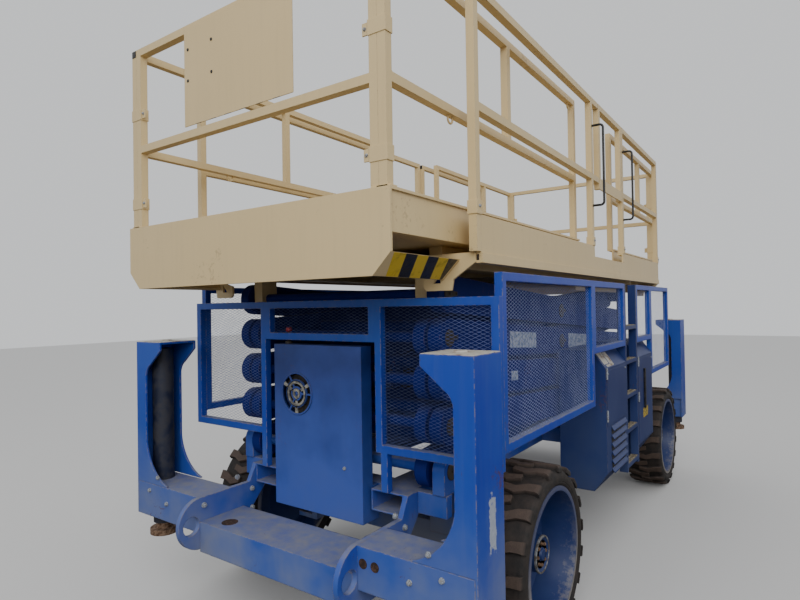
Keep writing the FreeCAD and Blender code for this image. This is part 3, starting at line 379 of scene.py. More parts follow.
def stained(name, clean, stain, rough, metallic, grain_mm, share):
    """A clean colour with stains of one grain; metallic 1 for bright metal, 0 where rust,
    grease or paint covers it, and for tape and plastic."""
    material, tree, place = coat(name)
    blotch = node(tree, "TexNoise", {"Vector": place, "Scale": 1 / (grain_mm * MM),
                                     "Detail": 5.0, "Roughness": 0.65})
    cover = node(tree, "MapRange", {"Value": blotch, "From Min": 0.62 - share / 2,
                                    "From Max": 0.78 - share / 2})
    colour = node(tree, "Mix", {0: cover, 6: linear(clean), 7: linear(stain)}, data_type="RGBA")
    rougher = node(tree, "Math", {0: cover, 1: 0.3, 2: rough}, operation="MULTIPLY_ADD",
                   use_clamp=True)
    bump = node(tree, "Bump", {"Height": blotch, "Strength": 0.3, "Distance": 1.5 * MM})
    shader = node(tree, "BsdfPrincipled", {"Base Color": colour, "Metallic": metallic,
                                           "Normal": bump, "Roughness": rougher})
    node(tree, "OutputMaterial", {"Surface": shader})
    return material


print("recipes: dusty rubber, and one clean colour under stains")

# %% [markdown]
# ## Small finishes
# Bolts, pins, rods and handles each have their own metal or coat, and their age shows in two
# colours. The wheels' axes and radii are measured from the frame, not typed, because the
# rubber's dust and the rims' scuffs have to follow the tyres exactly.


# %% Tyre rubber and small finishes
def axis_of(name):
    """Place (y, z) of the axis of a wheel piece, and the piece's radius."""
    low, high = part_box(name)
    return ((low.y + high.y) / 2, (low.z + high.z) / 2), (high.z - low.z) / 2


front_axis, lug_top = axis_of("tyre_fr")
rear_axis = axis_of("tyre_rr")[0]
flange_radius = axis_of("rim_fr")[1]

tyre_rubber = dusty_rubber("dusty_tyre_rubber", [front_axis, rear_axis], lug_top)
# Plated piston rod: hard chrome, mirror-like with a little oil.
rod_chrome = stained("hard_chrome_rod", "#C9CCD0", "#6B6258", 0.16, 1.0, 40, 0.1)
# Cast and forged running gear under grease and road dirt.
greasy_iron = stained("greasy_cast_iron", "#2B2D31", "#4C443C", 0.5, 0.3, 30, 0.5)
# Outrigger feet: hot-rolled steel that lives on wet ground, so it is brown rust all over.
rusty_steel = stained("rusted_hot_rolled_steel", "#8A705A", "#58402F", 0.78, 0.0, 18, 0.4)
# Zinc-plated bolts gone dull grey.
zinc = stained("dull_zinc_plate", "#AEB6C0", "#847C72", 0.5, 0.3, 6, 0.35)
# Bores left open to the rain: rust, and painted nearly black as the shade inside a hole.
rust_and_hole_shade = stained("dark_rust_and_painted_hole_shade", "#5A4034", "#33261F", 0.85, 0.0, 12, 0.5)
# Handles dipped in black enamel, polished by hands; the same black stands as painted shade in the
# front panel's weld gaps and behind the louvres.
black_enamel_and_shade = stained("black_enamel_and_painted_shade", "#111214", "#2E2C2A", 0.32, 0.0, 25, 0.3)
print("tyre crown radius", round(lug_top, 3), "m")

# %% [markdown]
# ## The rims' two finishes
# A disc wheel is sprayed the chassis colour before the tyre goes on. Fitting levers and gravel
# then strip the outer flange back to steel, and the dish collects shade and dust. The same
# radius reading as for the rubber drives both, with a noisy border between them.


# %% Rim recipe
def rim_enamel(name, axis_places, flange):
    """Deep blue in the dish, scuffed steel on the flange at that radius."""
    material, tree, place = coat(name)
    radius = wheel_radius(tree, place, axis_places)
    scuffs = node(tree, "TexNoise", {"Vector": place, "Scale": 1 / (30 * MM), "Detail": 5.0,
                                     "Roughness": 0.7})
    border = node(tree, "Math", {0: scuffs, 1: 60 * MM, 2: radius}, operation="MULTIPLY_ADD")
    scuffed = node(tree, "MapRange", {"Value": border, "From Min": flange - 4 * MM,
                                      "From Max": flange + 20 * MM})
    # stones strike the lower half, which the parked wheel shows at the bottom
    height = node(tree, "SeparateXYZ", {0: place}).outputs["Z"]
    hub_height = axis_places[0][1]
    struck = node(tree, "MapRange", {"Value": height, "From Min": hub_height + 120 * MM,
                                     "From Max": hub_height - 120 * MM,
                                     "To Min": 0.22, "To Max": 0.9})
    scuffed = node(tree, "Math", {0: scuffed, 1: struck}, operation="MULTIPLY")
    grime = node(tree, "TexNoise", {"Vector": place, "Scale": 1 / (90 * MM), "Detail": 4.0})
    paint = node(tree, "Mix", {0: grime, 6: linear("#12265F"), 7: linear("#2F416F")},
                 data_type="RGBA")
    steel = node(tree, "Mix", {0: scuffs, 6: linear("#B9B6B0"), 7: linear("#6F6459")},
                 data_type="RGBA")
    colour = node(tree, "Mix", {0: scuffed, 6: paint, 7: steel}, data_type="RGBA")
    bump = node(tree, "Bump", {"Height": scuffs, "Strength": 0.25, "Distance": 1 * MM})
    shader = node(tree, "BsdfPrincipled", {"Base Color": colour, "Roughness": 0.45,
                                           "Normal": bump})
    node(tree, "OutputMaterial", {"Surface": shader})
    return material


print("rim recipe: paint in the dish, steel on a flange of", round(flange_radius, 3), "m")

# %% [markdown]
# ## Handing out the finishes
# Every steel piece came from the frame with a named slot, such as chassis_paint. Materials
# could be set on pieces one by one, but the slots already say which pieces are painted alike,
# so one loop fills them all, and four pieces then get a coat of their own: the jack barrels
# their oiled paint, and the front cabinet, the side cabinets and the ladder a blue painted
# darker with the shade of the deck.

# %% Finishes by slot
wheel_enamel = rim_enamel("wheel_blue_enamel", [front_axis, rear_axis], flange_radius)
# Expanded steel panels, sprayed thinly in pale blue and painted paler still as the light that the
# strands catch.
lit_mesh_enamel = stained("pale_blue_mesh_enamel_painted_light", "#B2BEEE", "#8694CC", 0.5, 0.0, 300, 0.3)
# The front and left guards are the same steel painted darker as the shade they hang in.
shaded_mesh_enamel = stained("mesh_enamel_painted_shade", "#7481B6", "#515D90", 0.6, 0.0, 300, 0.4)
# Outrigger barrels: black-blue paint under oil mist.
barrel_enamel = stained("oiled_dark_barrel_enamel", "#1B2136", "#34343C", 0.45, 0.0, 60, 0.4)

finishes = {
    "chassis_paint": chassis_enamel, "arm_paint": arm_shaded_enamel,
    "platform_paint": platform_enamel, "mesh": lit_mesh_enamel, "wheel_paint": wheel_enamel,
    "tyre": tyre_rubber, "dark_steel": greasy_iron, "rod_steel": rod_chrome,
    "leg_steel": rusty_steel, "handle_black": black_enamel_and_shade,
}
for item in nodes.values():
    for held in item.material_slots:
        held.material = finishes[held.material.name.split(".")[0]]
# painted shade: the front cabinet, the side cabinets and the ladder get the blue copies with the
# deck's shade painted in
for name, own in (("jack_barrels", barrel_enamel), ("front_cabinet", cabinet_shaded_enamel),
                  ("side_cabinets", side_shaded_enamel), ("ladder", side_shaded_enamel)):
    nodes[name].material_slots[0].material = own
print(len(finishes), "finishes on", len(nodes), "nodes")

# %% [markdown]
# ## Small mesh helpers
# Many dressing pieces are one repeated element: a strand, a bolt, a tread bar. Arrays of
# objects would fill the scene with thousands of objects, so each family is gathered in one
# shape, a list of points and a list of faces, and becomes one mesh at the end.


# %% Shapes
class Shape:
    """A family of parts that is still being gathered; all sizes are in metres."""

    def __init__(self):
        self.points, self.faces = [], []

    def tube(self, rings, sides):
        """Close rings of corners, already in the points, into one skin with two end faces."""
        start = len(self.points) - rings * sides
        for ring in range(rings - 1):
            for k in range(sides):
                a, b = start + ring * sides + k, start + ring * sides + (k + 1) % sides
                self.faces.append((a, b, b + sides, a + sides))
        self.faces.append([start + k for k in reversed(range(sides))])
        self.faces.append([start + (rings - 1) * sides + k for k in range(sides)])

    def lathe(self, base, way, outline, sides=20):
        """Add a turned part; outline lists (distance along way, radius) from end to end."""
        way = Vector(way).normalized()
        side = way.orthogonal().normalized()
        other = way.cross(side)
        for along, radius in outline:
            for k in range(sides):
                a = 2 * math.pi * k / sides
                self.points.append(Vector(base) + way * along
                                   + (side * math.cos(a) + other * math.sin(a)) * radius)
        self.tube(len(outline), sides)

    def push(self, outline, push):
        """Add a flat outline pushed along a vector, with its faces turned outwards."""
        outline = [Vector(p) for p in outline]
        push = Vector(push)
        centre = sum(outline, Vector()) / len(outline)
        turn = sum(((a - centre).cross(b - centre)
                    for a, b in zip(outline, outline[1:] + outline[:1])), Vector())
        if turn.dot(push) < 0:
            outline.reverse()
        start, n = len(self.points), len(outline)
        self.points.extend(outline)
        self.points.extend(p + push for p in outline)
        self.faces.append([start + k for k in reversed(range(n))])
        self.faces.append([start + n + k for k in range(n)])
        for k in range(n):
            m = (k + 1) % n
            self.faces.append((start + k, start + m, start + n + m, start + n + k))

    def block(self, xs, ys, zs):
        """Add a box between two values on each axis, in either order."""
        (x0, x1), (y0, y1), (z0, z1) = sorted(xs), sorted(ys), sorted(zs)
        self.push([(x0, y0, z0), (x1, y0, z0), (x1, y1, z0), (x0, y1, z0)], (0, 0, z1 - z0))

    def bolt(self, place, way, size):
        """Add a washer, a hexagon head and the thread's end; size is the thread."""
        way, place = Vector(way).normalized(), Vector(place)
        washer, head = 0.18 * size, 0.66 * size
        self.lathe(place, way, [(0, size), (0.14 * size, size), (washer, 0.94 * size)])
        self.lathe(place + way * washer, way,
                   [(0, 0.86 * size), (0.58 * size, 0.86 * size), (head, 0.74 * size)], 6)
        self.lathe(place + way * (washer + head), way,
                   [(0, 0.46 * size), (0.14 * size, 0.46 * size), (0.2 * size, 0.38 * size)], 12)

    def piece(self, name, body, slot, material, smooth=False):
        """Make the one mesh object; it rides with a body of the machine."""
        mesh = bpy.data.meshes.new(name)
        mesh.from_pydata([tuple(p) for p in self.points], [], [tuple(f) for f in self.faces])
        turned_out = bmesh.new()
        turned_out.from_mesh(mesh)
        bmesh.ops.recalc_face_normals(turned_out, faces=turned_out.faces)
        turned_out.to_mesh(mesh)
        turned_out.free()
        mesh.materials.append(material)
        if smooth:
            mesh.polygons.foreach_set("use_smooth", [True] * len(mesh.polygons))
        mesh.update()
        made = bpy.data.objects.new(name, mesh)
        scene.collection.objects.link(made)
        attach(made, body)
        return made


trial = Shape()
trial.bolt((0, 0, 0), (0, 0, 1), 10 * MM)
print("a bolt is", len(trial.faces), "faces")

# %% [markdown]
# ## Rounded edges and separate solids
# Real sheet and castings have no knife edges, so the larger pieces get a bevel that works by
# angle. Some nodes hold several solids, such as one sheet a guard. Their places are measured
# here by walking along the mesh's edges, which keeps the lesson free of typed positions.


# %% Bevel and solids
def rounded(item, width, steps=2):
    """Round the edges of a piece with a bevel."""
    edge = item.modifiers.new("rounded_edges", "BEVEL")
    edge.width, edge.segments, edge.limit_method = width, steps, "ANGLE"


def solids_of(name):
    """Boxes (low, high) of the separate solids in a node, sorted by place."""
    mesh = bmesh.new()
    mesh.from_mesh(nodes[name].data)
    bmesh.ops.remove_doubles(mesh, verts=mesh.verts, dist=1e-6)
    mesh.verts.ensure_lookup_table()
    seen, found = set(), []
    for first in mesh.verts:
        if first.index in seen:
            continue
        group, queue = [], [first]
        seen.add(first.index)
        while queue:
            corner = queue.pop()
            group.append(corner.co)
            for edge in corner.link_edges:
                other = edge.other_vert(corner)
                if other.index not in seen:
                    seen.add(other.index)
                    queue.append(other)
        low = Vector([min(c[k] for c in group) for k in range(3)])
        high = Vector([max(c[k] for c in group) for k in range(3)])
        found.append((low, high))
    mesh.free()
    return sorted(found, key=lambda pair: tuple(pair[0]))


all_sheets = solids_of("mesh_sheets")
print("the guards hold", len(all_sheets), "sheets")

# %% [markdown]
# ## Expanded-metal guards
# The panels that keep hands out of the stack are expanded metal: a sheet is slit in rows and
# pulled until the slits open into diamonds 41 mm wide and 17 mm high. A see-through texture
# would look the same from afar, but the strands catch light on their slanted faces, so each
# one is a real bar, tilted as stretching leaves it. Their ends run on into the frame's bars.

# %% Guard panels
diamond_wide, diamond_high = 41 * MM, 17 * MM
strand_wide, strand_thick = 1.3 * MM, 0.8 * MM
strand_tilt = math.radians(38)
hidden_end = 12 * MM
sheet_thinner_than = 20 * MM


def expanded_metal(sheets):
    """All strands of these sheets, each sheet given by its box."""
    strands = Shape()
    step_u, step_v = diamond_wide / 2, diamond_high / 2
    long = math.hypot(step_u, step_v)
    for low, high in sheets:
        size = high - low
        out = min(range(3), key=lambda k: size[k])
        wide = 1 if out == 0 else 0
        middle = (low[out] + high[out]) / 2
        from_u, to_u = low[wide] - hidden_end, high[wide] + hidden_end
        from_v, to_v = low.z - hidden_end, high.z + hidden_end
        columns, rows = int((to_u - from_u) / step_u), int((to_v - from_v) / step_v)
        for column in range(columns):
            for row in range(column % 2, rows + 1, 2):
                for way in (-1, 1):
                    if not 0 <= row + way <= rows:
                        continue
                    a = (from_u + column * step_u, from_v + row * step_v)
                    b = (a[0] + step_u, a[1] + way * step_v)
                    side = (-way * step_v / long, step_u / long)
                    lean = math.cos(strand_tilt), way * math.sin(strand_tilt)
                    start = len(strands.points)
                    for end in (a, b):
                        for across_by, out_by in ((-1, -1), (1, -1), (1, 1), (-1, 1)):
                            u, v = across_by * strand_wide / 2, out_by * strand_thick / 2
                            flat, depth = u * lean[0] - v * lean[1], u * lean[1] + v * lean[0]
                            place = [0.0, 0.0, end[1] + side[1] * flat]
                            place[wide] = end[0] + side[0] * flat
                            place[out] = middle + depth
                            strands.points.append(place)
                    for k in range(4):
                        n = (k + 1) % 4
                        strands.faces.append((start + k, start + n, start + 4 + n, start + 4 + k))
    return strands


side_sheets = [s for s in all_sheets if (s[1] - s[0]).x < sheet_thinner_than]
sheet_groups = {
    "expanded_metal_front": [s for s in all_sheets if (s[1] - s[0]).y < sheet_thinner_than],
    "expanded_metal_left": [s for s in side_sheets if s[0].x < 0],
    "expanded_metal_right": [s for s in side_sheets if s[0].x > 0],
}
for name, sheets in sheet_groups.items():
    strands = expanded_metal(sheets)
    # painted light and shade: the right guard takes the lit pale copy, the front and left guards
    # the shaded one
    panel = strands.piece(name, "chassis", "mesh",
                          lit_mesh_enamel if name.endswith("right") else shaded_mesh_enamel)
    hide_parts("mesh_sheets")
    print(name, len(sheets), "panels,", 2 * len(strands.faces), "triangles")

# %% [markdown]
# ## Tyres
# The treads carry long bars from both shoulders in turn, each with a bend past the middle, so
# that one bar always grips while the next one sheds its mud. A tyre could be carved from a
# ring with cutters, but bars laid on a turned body show the same valleys with far fewer
# faces. The body is turned from its section, with the fine rings that the mould leaves in
# the sidewall, and each bar follows its own middle line over the shoulder.

# %% Tyre body and bars
wheel_low, wheel_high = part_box("tyre_fr")
tyre_wide = wheel_high.x - wheel_low.x
bead_radius = flange_radius - 15 * MM
body_radius = lug_top - 26 * MM
bar_pairs, body_steps = 19, 114
bar_lean, bar_root, bar_below_top = 3.5 * MM, 9 * MM, 0.4 * MM
wheels = {"fl": (-1, front_axis), "fr": (1, front_axis),
          "rl": (-1, rear_axis), "rr": (1, rear_axis)}

# body's section from the bead over the sidewall's rings to the crown, in mm: across, then up
# from the flange for the sidewall and up from the crown for the shoulder
sidewall = [(14.4, 1), (8, 8), (4, 17), (5.5, 20), (2.5, 23), (1, 34), (0.5, 42), (2, 44),
            (1, 46), (4, 60)]
shoulder = [(10, -14), (22, -5), (45, -1.5), (100, 0)]
half_section = [(14.4 * MM, bead_radius)]
half_section += [(a * MM, flange_radius + up * MM) for a, up in sidewall]
half_section += [(a * MM, body_radius + up * MM) for a, up in shoulder]
section = half_section + [(tyre_wide - a, r) for a, r in reversed(half_section)]

# bar's middle line: across as a share of the width, then in mm the shift along the tread, the
# half width, and the height against the lug tops
bar_line = [(0.0, 0, 25, -30), (0.006, 0, 27, -16), (0.030, 0, 27, -6), (0.07, 0, 25, -2.5),
            (0.22, 4, 23, -1.2), (0.40, 26, 21, -0.4), (0.62, 10, 17, -0.4)]


def tyre_shape(hand, axis):
    """One tyre; hand is +1 on the right, -1 on the left."""
    tyre = Shape()

    def at(across_by, radius, angle):
        return Vector((hand * (wheel_low.x + across_by), axis[0] + radius * math.sin(angle),
                       axis[1] + radius * math.cos(angle)))

    for k in range(body_steps):
        tyre.points += [at(a, r, 2 * math.pi * k / body_steps) for a, r in section]
    n = len(section)
    for k in range(body_steps):
        following = (k + 1) % body_steps
        for j in range(n):
            m = (j + 1) % n
            tyre.faces.append((k * n + j, k * n + m, following * n + m, following * n + j))
    for i in range(2 * bar_pairs):
        turn = 2 * math.pi * (i + 0.15) / (2 * bar_pairs)
        start = len(tyre.points)
        for share, shift, half_wide, up in bar_line:
            across_by = tyre_wide * (1 - share if i % 2 else share)
            top_radius = lug_top - bar_below_top + up * MM
            foot = min(body_radius, top_radius) - bar_root
            wide = half_wide * MM
            for radius, half in ((foot, wide + bar_lean), (top_radius, wide),
                                 (top_radius, -wide), (foot, -wide - bar_lean)):
                angle = turn - (shift * MM + half) / body_radius
                tyre.points.append(at(across_by, radius, angle))
        last = start + 4 * (len(bar_line) - 1)
        tyre.faces += [(start, start + 1, start + 2, start + 3),
                       (last + 3, last + 2, last + 1, last)]
        tyre.faces += [(start + 4 * j + k, start + 4 * j + (k + 1) % 4,
                        start + 4 * j + 4 + (k + 1) % 4, start + 4 * j + 4 + k)
                       for j in range(len(bar_line) - 1) for k in range(4)]
    return tyre


for corner, (hand, axis) in wheels.items():
    tyre = tyre_shape(hand, axis)
    made = tyre.piece("treaded_tyre_" + corner, "wheel_" + corner, "tyre", tyre_rubber)
    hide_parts("tyre_" + corner)
    rounded(made, 2 * MM, 1)
print("treads:", 2 * bar_pairs, "bars a tyre,", len(tyre.faces), "faces each")

# %% [markdown]
# ## Wheel centres
# Eight nuts hold each rim on its hub, and the drum of the planetary gear stands far out in
# the dish, closed by a cover that is bolted on in its turn. They are turned parts laid in
# circles. The paint has gone from the nuts, which is how a mechanic can see that somebody
# has had the wheel off.

# %% Nuts, pressure ring and hub cover
nut_circle, nut_size = 143 * MM, 20 * MM
cover_circle, cover_bolt = 56 * MM, 10 * MM
disc_across = 84 * MM
drum_out = 158 * MM
pressure_ring = [(0, 178 * MM), (3 * MM, 178 * MM), (5 * MM, 174 * MM), (5 * MM, 168 * MM),
                 (1 * MM, 164 * MM)]
drum = [(0, 112 * MM), (40 * MM, 108 * MM), (60 * MM, 96 * MM), (drum_out, 94 * MM),
        (drum_out + 2 * MM, 90 * MM), (drum_out - 6 * MM, 72 * MM), (drum_out - 6 * MM, 34 * MM),
        (drum_out + 6 * MM, 30 * MM), (drum_out + 8 * MM, 20 * MM)]
drum_rim = [(0, 97 * MM), (9 * MM, 97 * MM), (12 * MM, 94 * MM), (12 * MM, 88 * MM),
            (2 * MM, 84 * MM)]
# Machined rim of the hub, scuffed back to grey steel.
scuffed_steel = stained("scuffed_bare_steel", "#8F9296", "#5C5650", 0.5, 0.2, 25, 0.45)


def round_the_hub(count, offset, radius):
    """Offsets of bolts laid evenly in a circle round a wheel's axis."""
    angles = [2 * math.pi * (k + offset) / count for k in range(count)]
    return [Vector((0, math.sin(a), math.cos(a))) * radius for a in angles]


for corner, (hand, (y, z)) in wheels.items():
    way = Vector((hand, 0, 0))
    disc = Vector((hand * (wheel_low.x + disc_across), y, z))
    nuts, cover, ring = Shape(), Shape(), Shape()
    for offset in round_the_hub(8, 0.5, nut_circle):
        nuts.bolt(disc + offset, way, nut_size)
    for offset in round_the_hub(8, 0, cover_circle):
        nuts.bolt(disc + way * (drum_out - 6 * MM) + offset, way, cover_bolt)
    cover.lathe(disc, way, pressure_ring, 64)
    cover.lathe(disc, way, drum, 48)
    ring.lathe(disc + way * (drum_out - 8 * MM), way, drum_rim, 64)
    wheel = "wheel_" + corner
    ring.piece("hub_ring_" + corner, wheel, "wheel_paint", scuffed_steel)
    nuts.piece("wheel_nuts_" + corner, wheel, "leg_steel", rusty_steel)
    rounded(cover.piece("hub_cover_" + corner, wheel, "wheel_paint", wheel_enamel), 1.5 * MM, 1)
print("nuts on a circle of", round(2 * nut_circle / MM), "mm")

# %% [markdown]
# ## Bolts and holes in the chassis steel
# The outrigger beams and lugs are drawn together by bolts whose zinc has gone pale, and the
# plates keep the open holes of parts that this machine was ordered without. A dark disc
# sunk in a ring reads as a hole at once, where a real one would have to be cut in the frame;
# the disc's colour is rust and painted shade of the hole's inside.

# %% Chassis bolts and blind holes
beam_low, beam_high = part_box("front_crossbeam")
front_face = beam_low.y
cabinet_low, cabinet_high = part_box("front_cabinet")
cabinet_face = cabinet_low.y + 6 * MM
lug_inner, lug_outer = (corner.x for corner in solids_of("front_lugs")[1])
facing_front, facing_up = Vector((0, -1, 0)), Vector((0, 0, 1))
beam_bolt, lug_bolt, cabinet_bolt = 13 * MM, 15.6 * MM, 10 * MM
beam_bolts = ((0.841, 0.674), (0.994, 0.723), (-0.849, 0.672), (-1.022, 0.722),
              (0.934, 0.809), (-0.934, 0.809))
inner_lug_bolts = ((-2.353, 0.717), (-2.02, 0.719), (-2.02, 0.606))
outer_lug_bolts = ((-2.10, 0.800), (-2.02, 0.720), (-2.02, 0.606))

bolts = Shape()
for x, z in beam_bolts:
    bolts.bolt((x, front_face, z), facing_front, beam_bolt)
for hand in (-1, 1):
    for y, z in inner_lug_bolts:
        bolts.bolt((hand * lug_inner, y, z), (-hand, 0, 0), lug_bolt)
    for y, z in outer_lug_bolts:
        bolts.bolt((hand * lug_outer, y, z), (hand, 0, 0), lug_bolt)
bolts.bolt((0.20, cabinet_face, 0.95), facing_front, cabinet_bolt)
bolts.piece("chassis_bolts", "chassis", "rod_steel", zinc)

beam_holes = ((0.600, 0.690), (0.664, 0.690), (-0.64, 0.690))
shelf_hole = (-0.395, -2.295, beam_high.z - 128 * MM)
holes = Shape()
for x, z in beam_holes:
    holes.lathe((x, front_face, z), facing_front,
                [(0, 22 * MM), (1.2 * MM, 22 * MM), (0.3 * MM, 18 * MM), (0.2 * MM, 2 * MM)], 28)
holes.lathe(shelf_hole, facing_up,
            [(0, 44 * MM), (1.0 * MM, 44 * MM), (0.4 * MM, 40 * MM), (0.2 * MM, 2 * MM)], 36)
holes.piece("blind_holes", "chassis", "leg_steel", rust_and_hole_shade)
print(len(bolts.faces), "faces in the chassis bolts")

# %% [markdown]
# ## Pins of the scissor stack
# Every joint of the arms turns on a shaft kept in place by a cap and a small keeper plate, with
# a nipple in its middle for the grease gun. They could be modelled on each arm by hand, but
# the pins repeat at an even pitch, so one short loop places them all, and each cap rides
# with the arm whose shaft it closes.

# %% Pin caps and grease nipples
arm_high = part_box("outer_arms_1")[1]
arm_face = arm_high.x
levels = 4
pin_step = (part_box("outer_arms_4")[1].z - arm_high.z) / (levels - 1)
front_pin_y, front_pin_z, rear_pin_y = -1.835, 0.970, 1.4577
middle_y = (front_pin_y + rear_pin_y) / 2
end_cap, middle_cap = 44 * MM, 50 * MM


def pin_cap(shape, hand, y, z, radius):
    """Cap, keeper plate, bolt and grease nipple on the end of a shaft."""
    way, face = Vector((hand, 0, 0)), hand * arm_face
    plate_from, plate_to, plate_thick = y + radius - 12 * MM, y + radius + 34 * MM, 7 * MM
    shape.lathe((face, y, z), way, [(0, radius), (4 * MM, radius), (6 * MM, radius - 3 * MM),
                                    (6 * MM, 12 * MM), (4.5 * MM, 10 * MM)], 28)
    shape.push([(face, plate_from, z - 14 * MM), (face, plate_to, z - 10 * MM),
                (face, plate_to, z + 10 * MM), (face, plate_from, z + 14 * MM)],
               way * plate_thick)
    shape.bolt((face + hand * plate_thick, plate_to - 14 * MM, z), way, 6 * MM)
    shape.lathe((face + hand * 5 * MM, y, z), way,
                [(0, 5 * MM), (4 * MM, 5 * MM), (4.4 * MM, 2.5 * MM), (7 * MM, 3 * MM),
                 (8 * MM, 1.5 * MM)], 8)


caps = {"chassis": [(front_pin_y, front_pin_z, end_cap)]}
for number in range(1, levels + 1):
    base = front_pin_z + (number - 1) * pin_step
    caps["outer_%d" % number] = [(front_pin_y, base + pin_step, end_cap),
                                 (rear_pin_y, base, end_cap)]
    caps["inner_%d" % number] = [(middle_y, base + pin_step / 2, middle_cap)]
for body, spots in caps.items():
    shape = Shape()
    for y, z, radius in spots:
        for hand in (-1, 1):
            pin_cap(shape, hand, y, z, radius)
    shape.piece("pin_caps_" + body, body, "dark_steel", greasy_iron)

# %% [markdown]
# ## Rail sockets
# The guard rails are plugged into sockets on the deck and held by through bolts. A socket is
# bent sheet a few millimetres thick. Folding it as sheet would show nothing more from
# outside, so it is a block with rounded edges round the tube.

# %% Sockets
rail_low, rail_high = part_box("rails_right")
tube_wide = rail_high.x - rail_low.x
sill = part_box("platform_deck")[1].z
mid_rail_down = 540 * MM

socket_wall, socket_high, socket_bolt_up = 5 * MM, 62 * MM, 36 * MM
right_posts = (rail_low.y, -0.290, 0.562, rail_high.y - tube_wide)
left_posts = (rail_low.y, 0.505, 0.590, rail_high.y - tube_wide)
sockets, socket_bolts = Shape(), Shape()
for hand, posts in ((1, right_posts), (-1, left_posts)):
    socket_xs = (hand * (rail_high.x - tube_wide - socket_wall),
                 hand * (rail_high.x + socket_wall))
    for y in posts:
        sockets.block(socket_xs, (y - socket_wall, y + tube_wide + socket_wall),
                      (sill, sill + socket_high))
        socket_bolts.bolt((hand * (rail_high.x + socket_wall), y + tube_wide / 2,
                           sill + socket_bolt_up), (hand, 0, 0), 8 * MM)
rounded(sockets.piece("rail_sockets", "platform", "platform_paint", platform_enamel), 1.5 * MM)
socket_bolts.piece("rail_bolts", "platform", "rod_steel", zinc)
print("sockets:", len(right_posts) + len(left_posts))

# %% [markdown]
# ## Clamps of the roll-out decks
# Both roll-out decks are locked to their side rails by clamp bands with bolted ears, stand on
# foot angles and are stiffened by a curved gusset in each corner. The two decks mirror each
# other, so one loop builds both, with end as the direction that each rolls out in.

# %% Clamps, foot angles and gussets
deck_bodies = {"extension": ("extension_side_rails", "extension_front_rails", -1),
               "rear_extension": ("rear_extension_side_rails", "rails_rear", 1)}
toe_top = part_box("extension_deck")[1].z
clamp_bottoms, clamp_high, clamp_wall = (2.845, 2.350), 62 * MM, 4 * MM
ear_reach, ear_thick, foot_reach, foot_thick = 34 * MM, 6 * MM, 46 * MM, 8 * MM
gusset_reach, gusset_thick, gusset_steps = 70 * MM, 6 * MM, 8
plug_half, plug_gap, plug_out = tube_wide / 2 - 2 * MM, 2 * MM, 3 * MM
for body, (side_name, end_name, end) in deck_bodies.items():
    side_low, side_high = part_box(side_name)
    inner_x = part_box(end_name)[1].x - tube_wide
    face = side_low.y if end < 0 else side_high.y
    clamps, clamp_bolts, plugs = Shape(), Shape(), Shape()
    for hand in (-1, 1):
        for z in clamp_bottoms:
            clamps.block((hand * (inner_x - clamp_wall), hand * (side_high.x + clamp_wall)),
                         (face + end * 3 * MM, face - end * (tube_wide + clamp_wall)),
                         (z, z + clamp_high))
            ear_y = face - end * 6 * MM
            clamps.block((hand * (inner_x - clamp_wall), hand * (inner_x - ear_reach)),
                         (ear_y - ear_thick / 2, ear_y + ear_thick / 2),
                         (z + 6 * MM, z + clamp_high - 6 * MM))
            clamp_bolts.bolt((hand * (inner_x - 20 * MM), face - end * 3 * MM,
                              z + clamp_high / 2), (0, end, 0), 8 * MM)
        # foot angle on the toe board
        clamps.block((hand * (side_high.x - tube_wide - 12 * MM), hand * (side_high.x + 14 * MM)),
                     (face, face - end * foot_reach), (toe_top, toe_top + foot_thick))
        clamp_bolts.bolt((hand * (side_high.x - tube_wide - 4 * MM), face - end * 20 * MM,
                          toe_top + foot_thick), facing_up, 6 * MM)
        # plug in the end of the top tube, and the corner gusset over the middle tube
        tube_x = hand * (side_high.x - tube_wide / 2)
        plugs.block((tube_x - plug_half, tube_x + plug_half),
                    (face - end * 1 * MM, face + end * plug_out),
                    (side_high.z - tube_wide + plug_gap, side_high.z - plug_gap))
        gusset_x, corner_y = tube_x - gusset_thick / 2, face - end * tube_wide
        corner_z = side_high.z - mid_rail_down
        curve = [(gusset_x, corner_y, corner_z)]
        for k in range(gusset_steps + 1):
            a = math.radians(90 * k / gusset_steps)
            curve.append((gusset_x, corner_y - end * gusset_reach * (1 - math.sin(a)),
                          corner_z + gusset_reach * (1 - math.cos(a))))
        clamps.push(curve, (gusset_thick, 0, 0))
    rounded(clamps.piece("clamps_" + body, body, "platform_paint", platform_enamel), 1.5 * MM)
    clamp_bolts.piece("clamp_bolts_" + body, body, "rod_steel", zinc)
    rounded(plugs.piece("tube_plugs_" + body, body, "handle_black", black_enamel_and_shade), 3 * MM)

print("clamp bands:", 2 * len(clamp_bottoms), "on each of", len(deck_bodies), "decks")

# %% [markdown]
# ## Tube plugs
# Black plugs close the open ends of the top tubes so that rain stays out. Those of the
# roll-out decks were made with their clamps; the fixed rails and the gate have theirs here. A
# plug stands a little proud of its tube, and a bevel gives it the soft rim of moulded plastic.

# %% Plugs
gate_low, gate_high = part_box("gate")
top_tube_z = rail_high.z - tube_wide / 2
plug_places = {"gate": [(gate_high.x - tube_wide / 2, gate_low.y)],
               "platform": [(hand * (rail_high.x - tube_wide / 2), y) for hand, y in
                            ((1, rail_low.y), (-1, rail_low.y), (-1, left_posts[2]))]}
for body, places in plug_places.items():
    plugs = Shape()
    for x, y in places:
        plugs.block((x - plug_half, x + plug_half), (y - plug_out, y + 1 * MM),
                    (top_tube_z - plug_half, top_tube_z + plug_half))
    rounded(plugs.piece("tube_plugs_" + body, body, "handle_black", black_enamel_and_shade), 3 * MM)
print("plugs on", list(plug_places), "besides those of the roll-out decks")

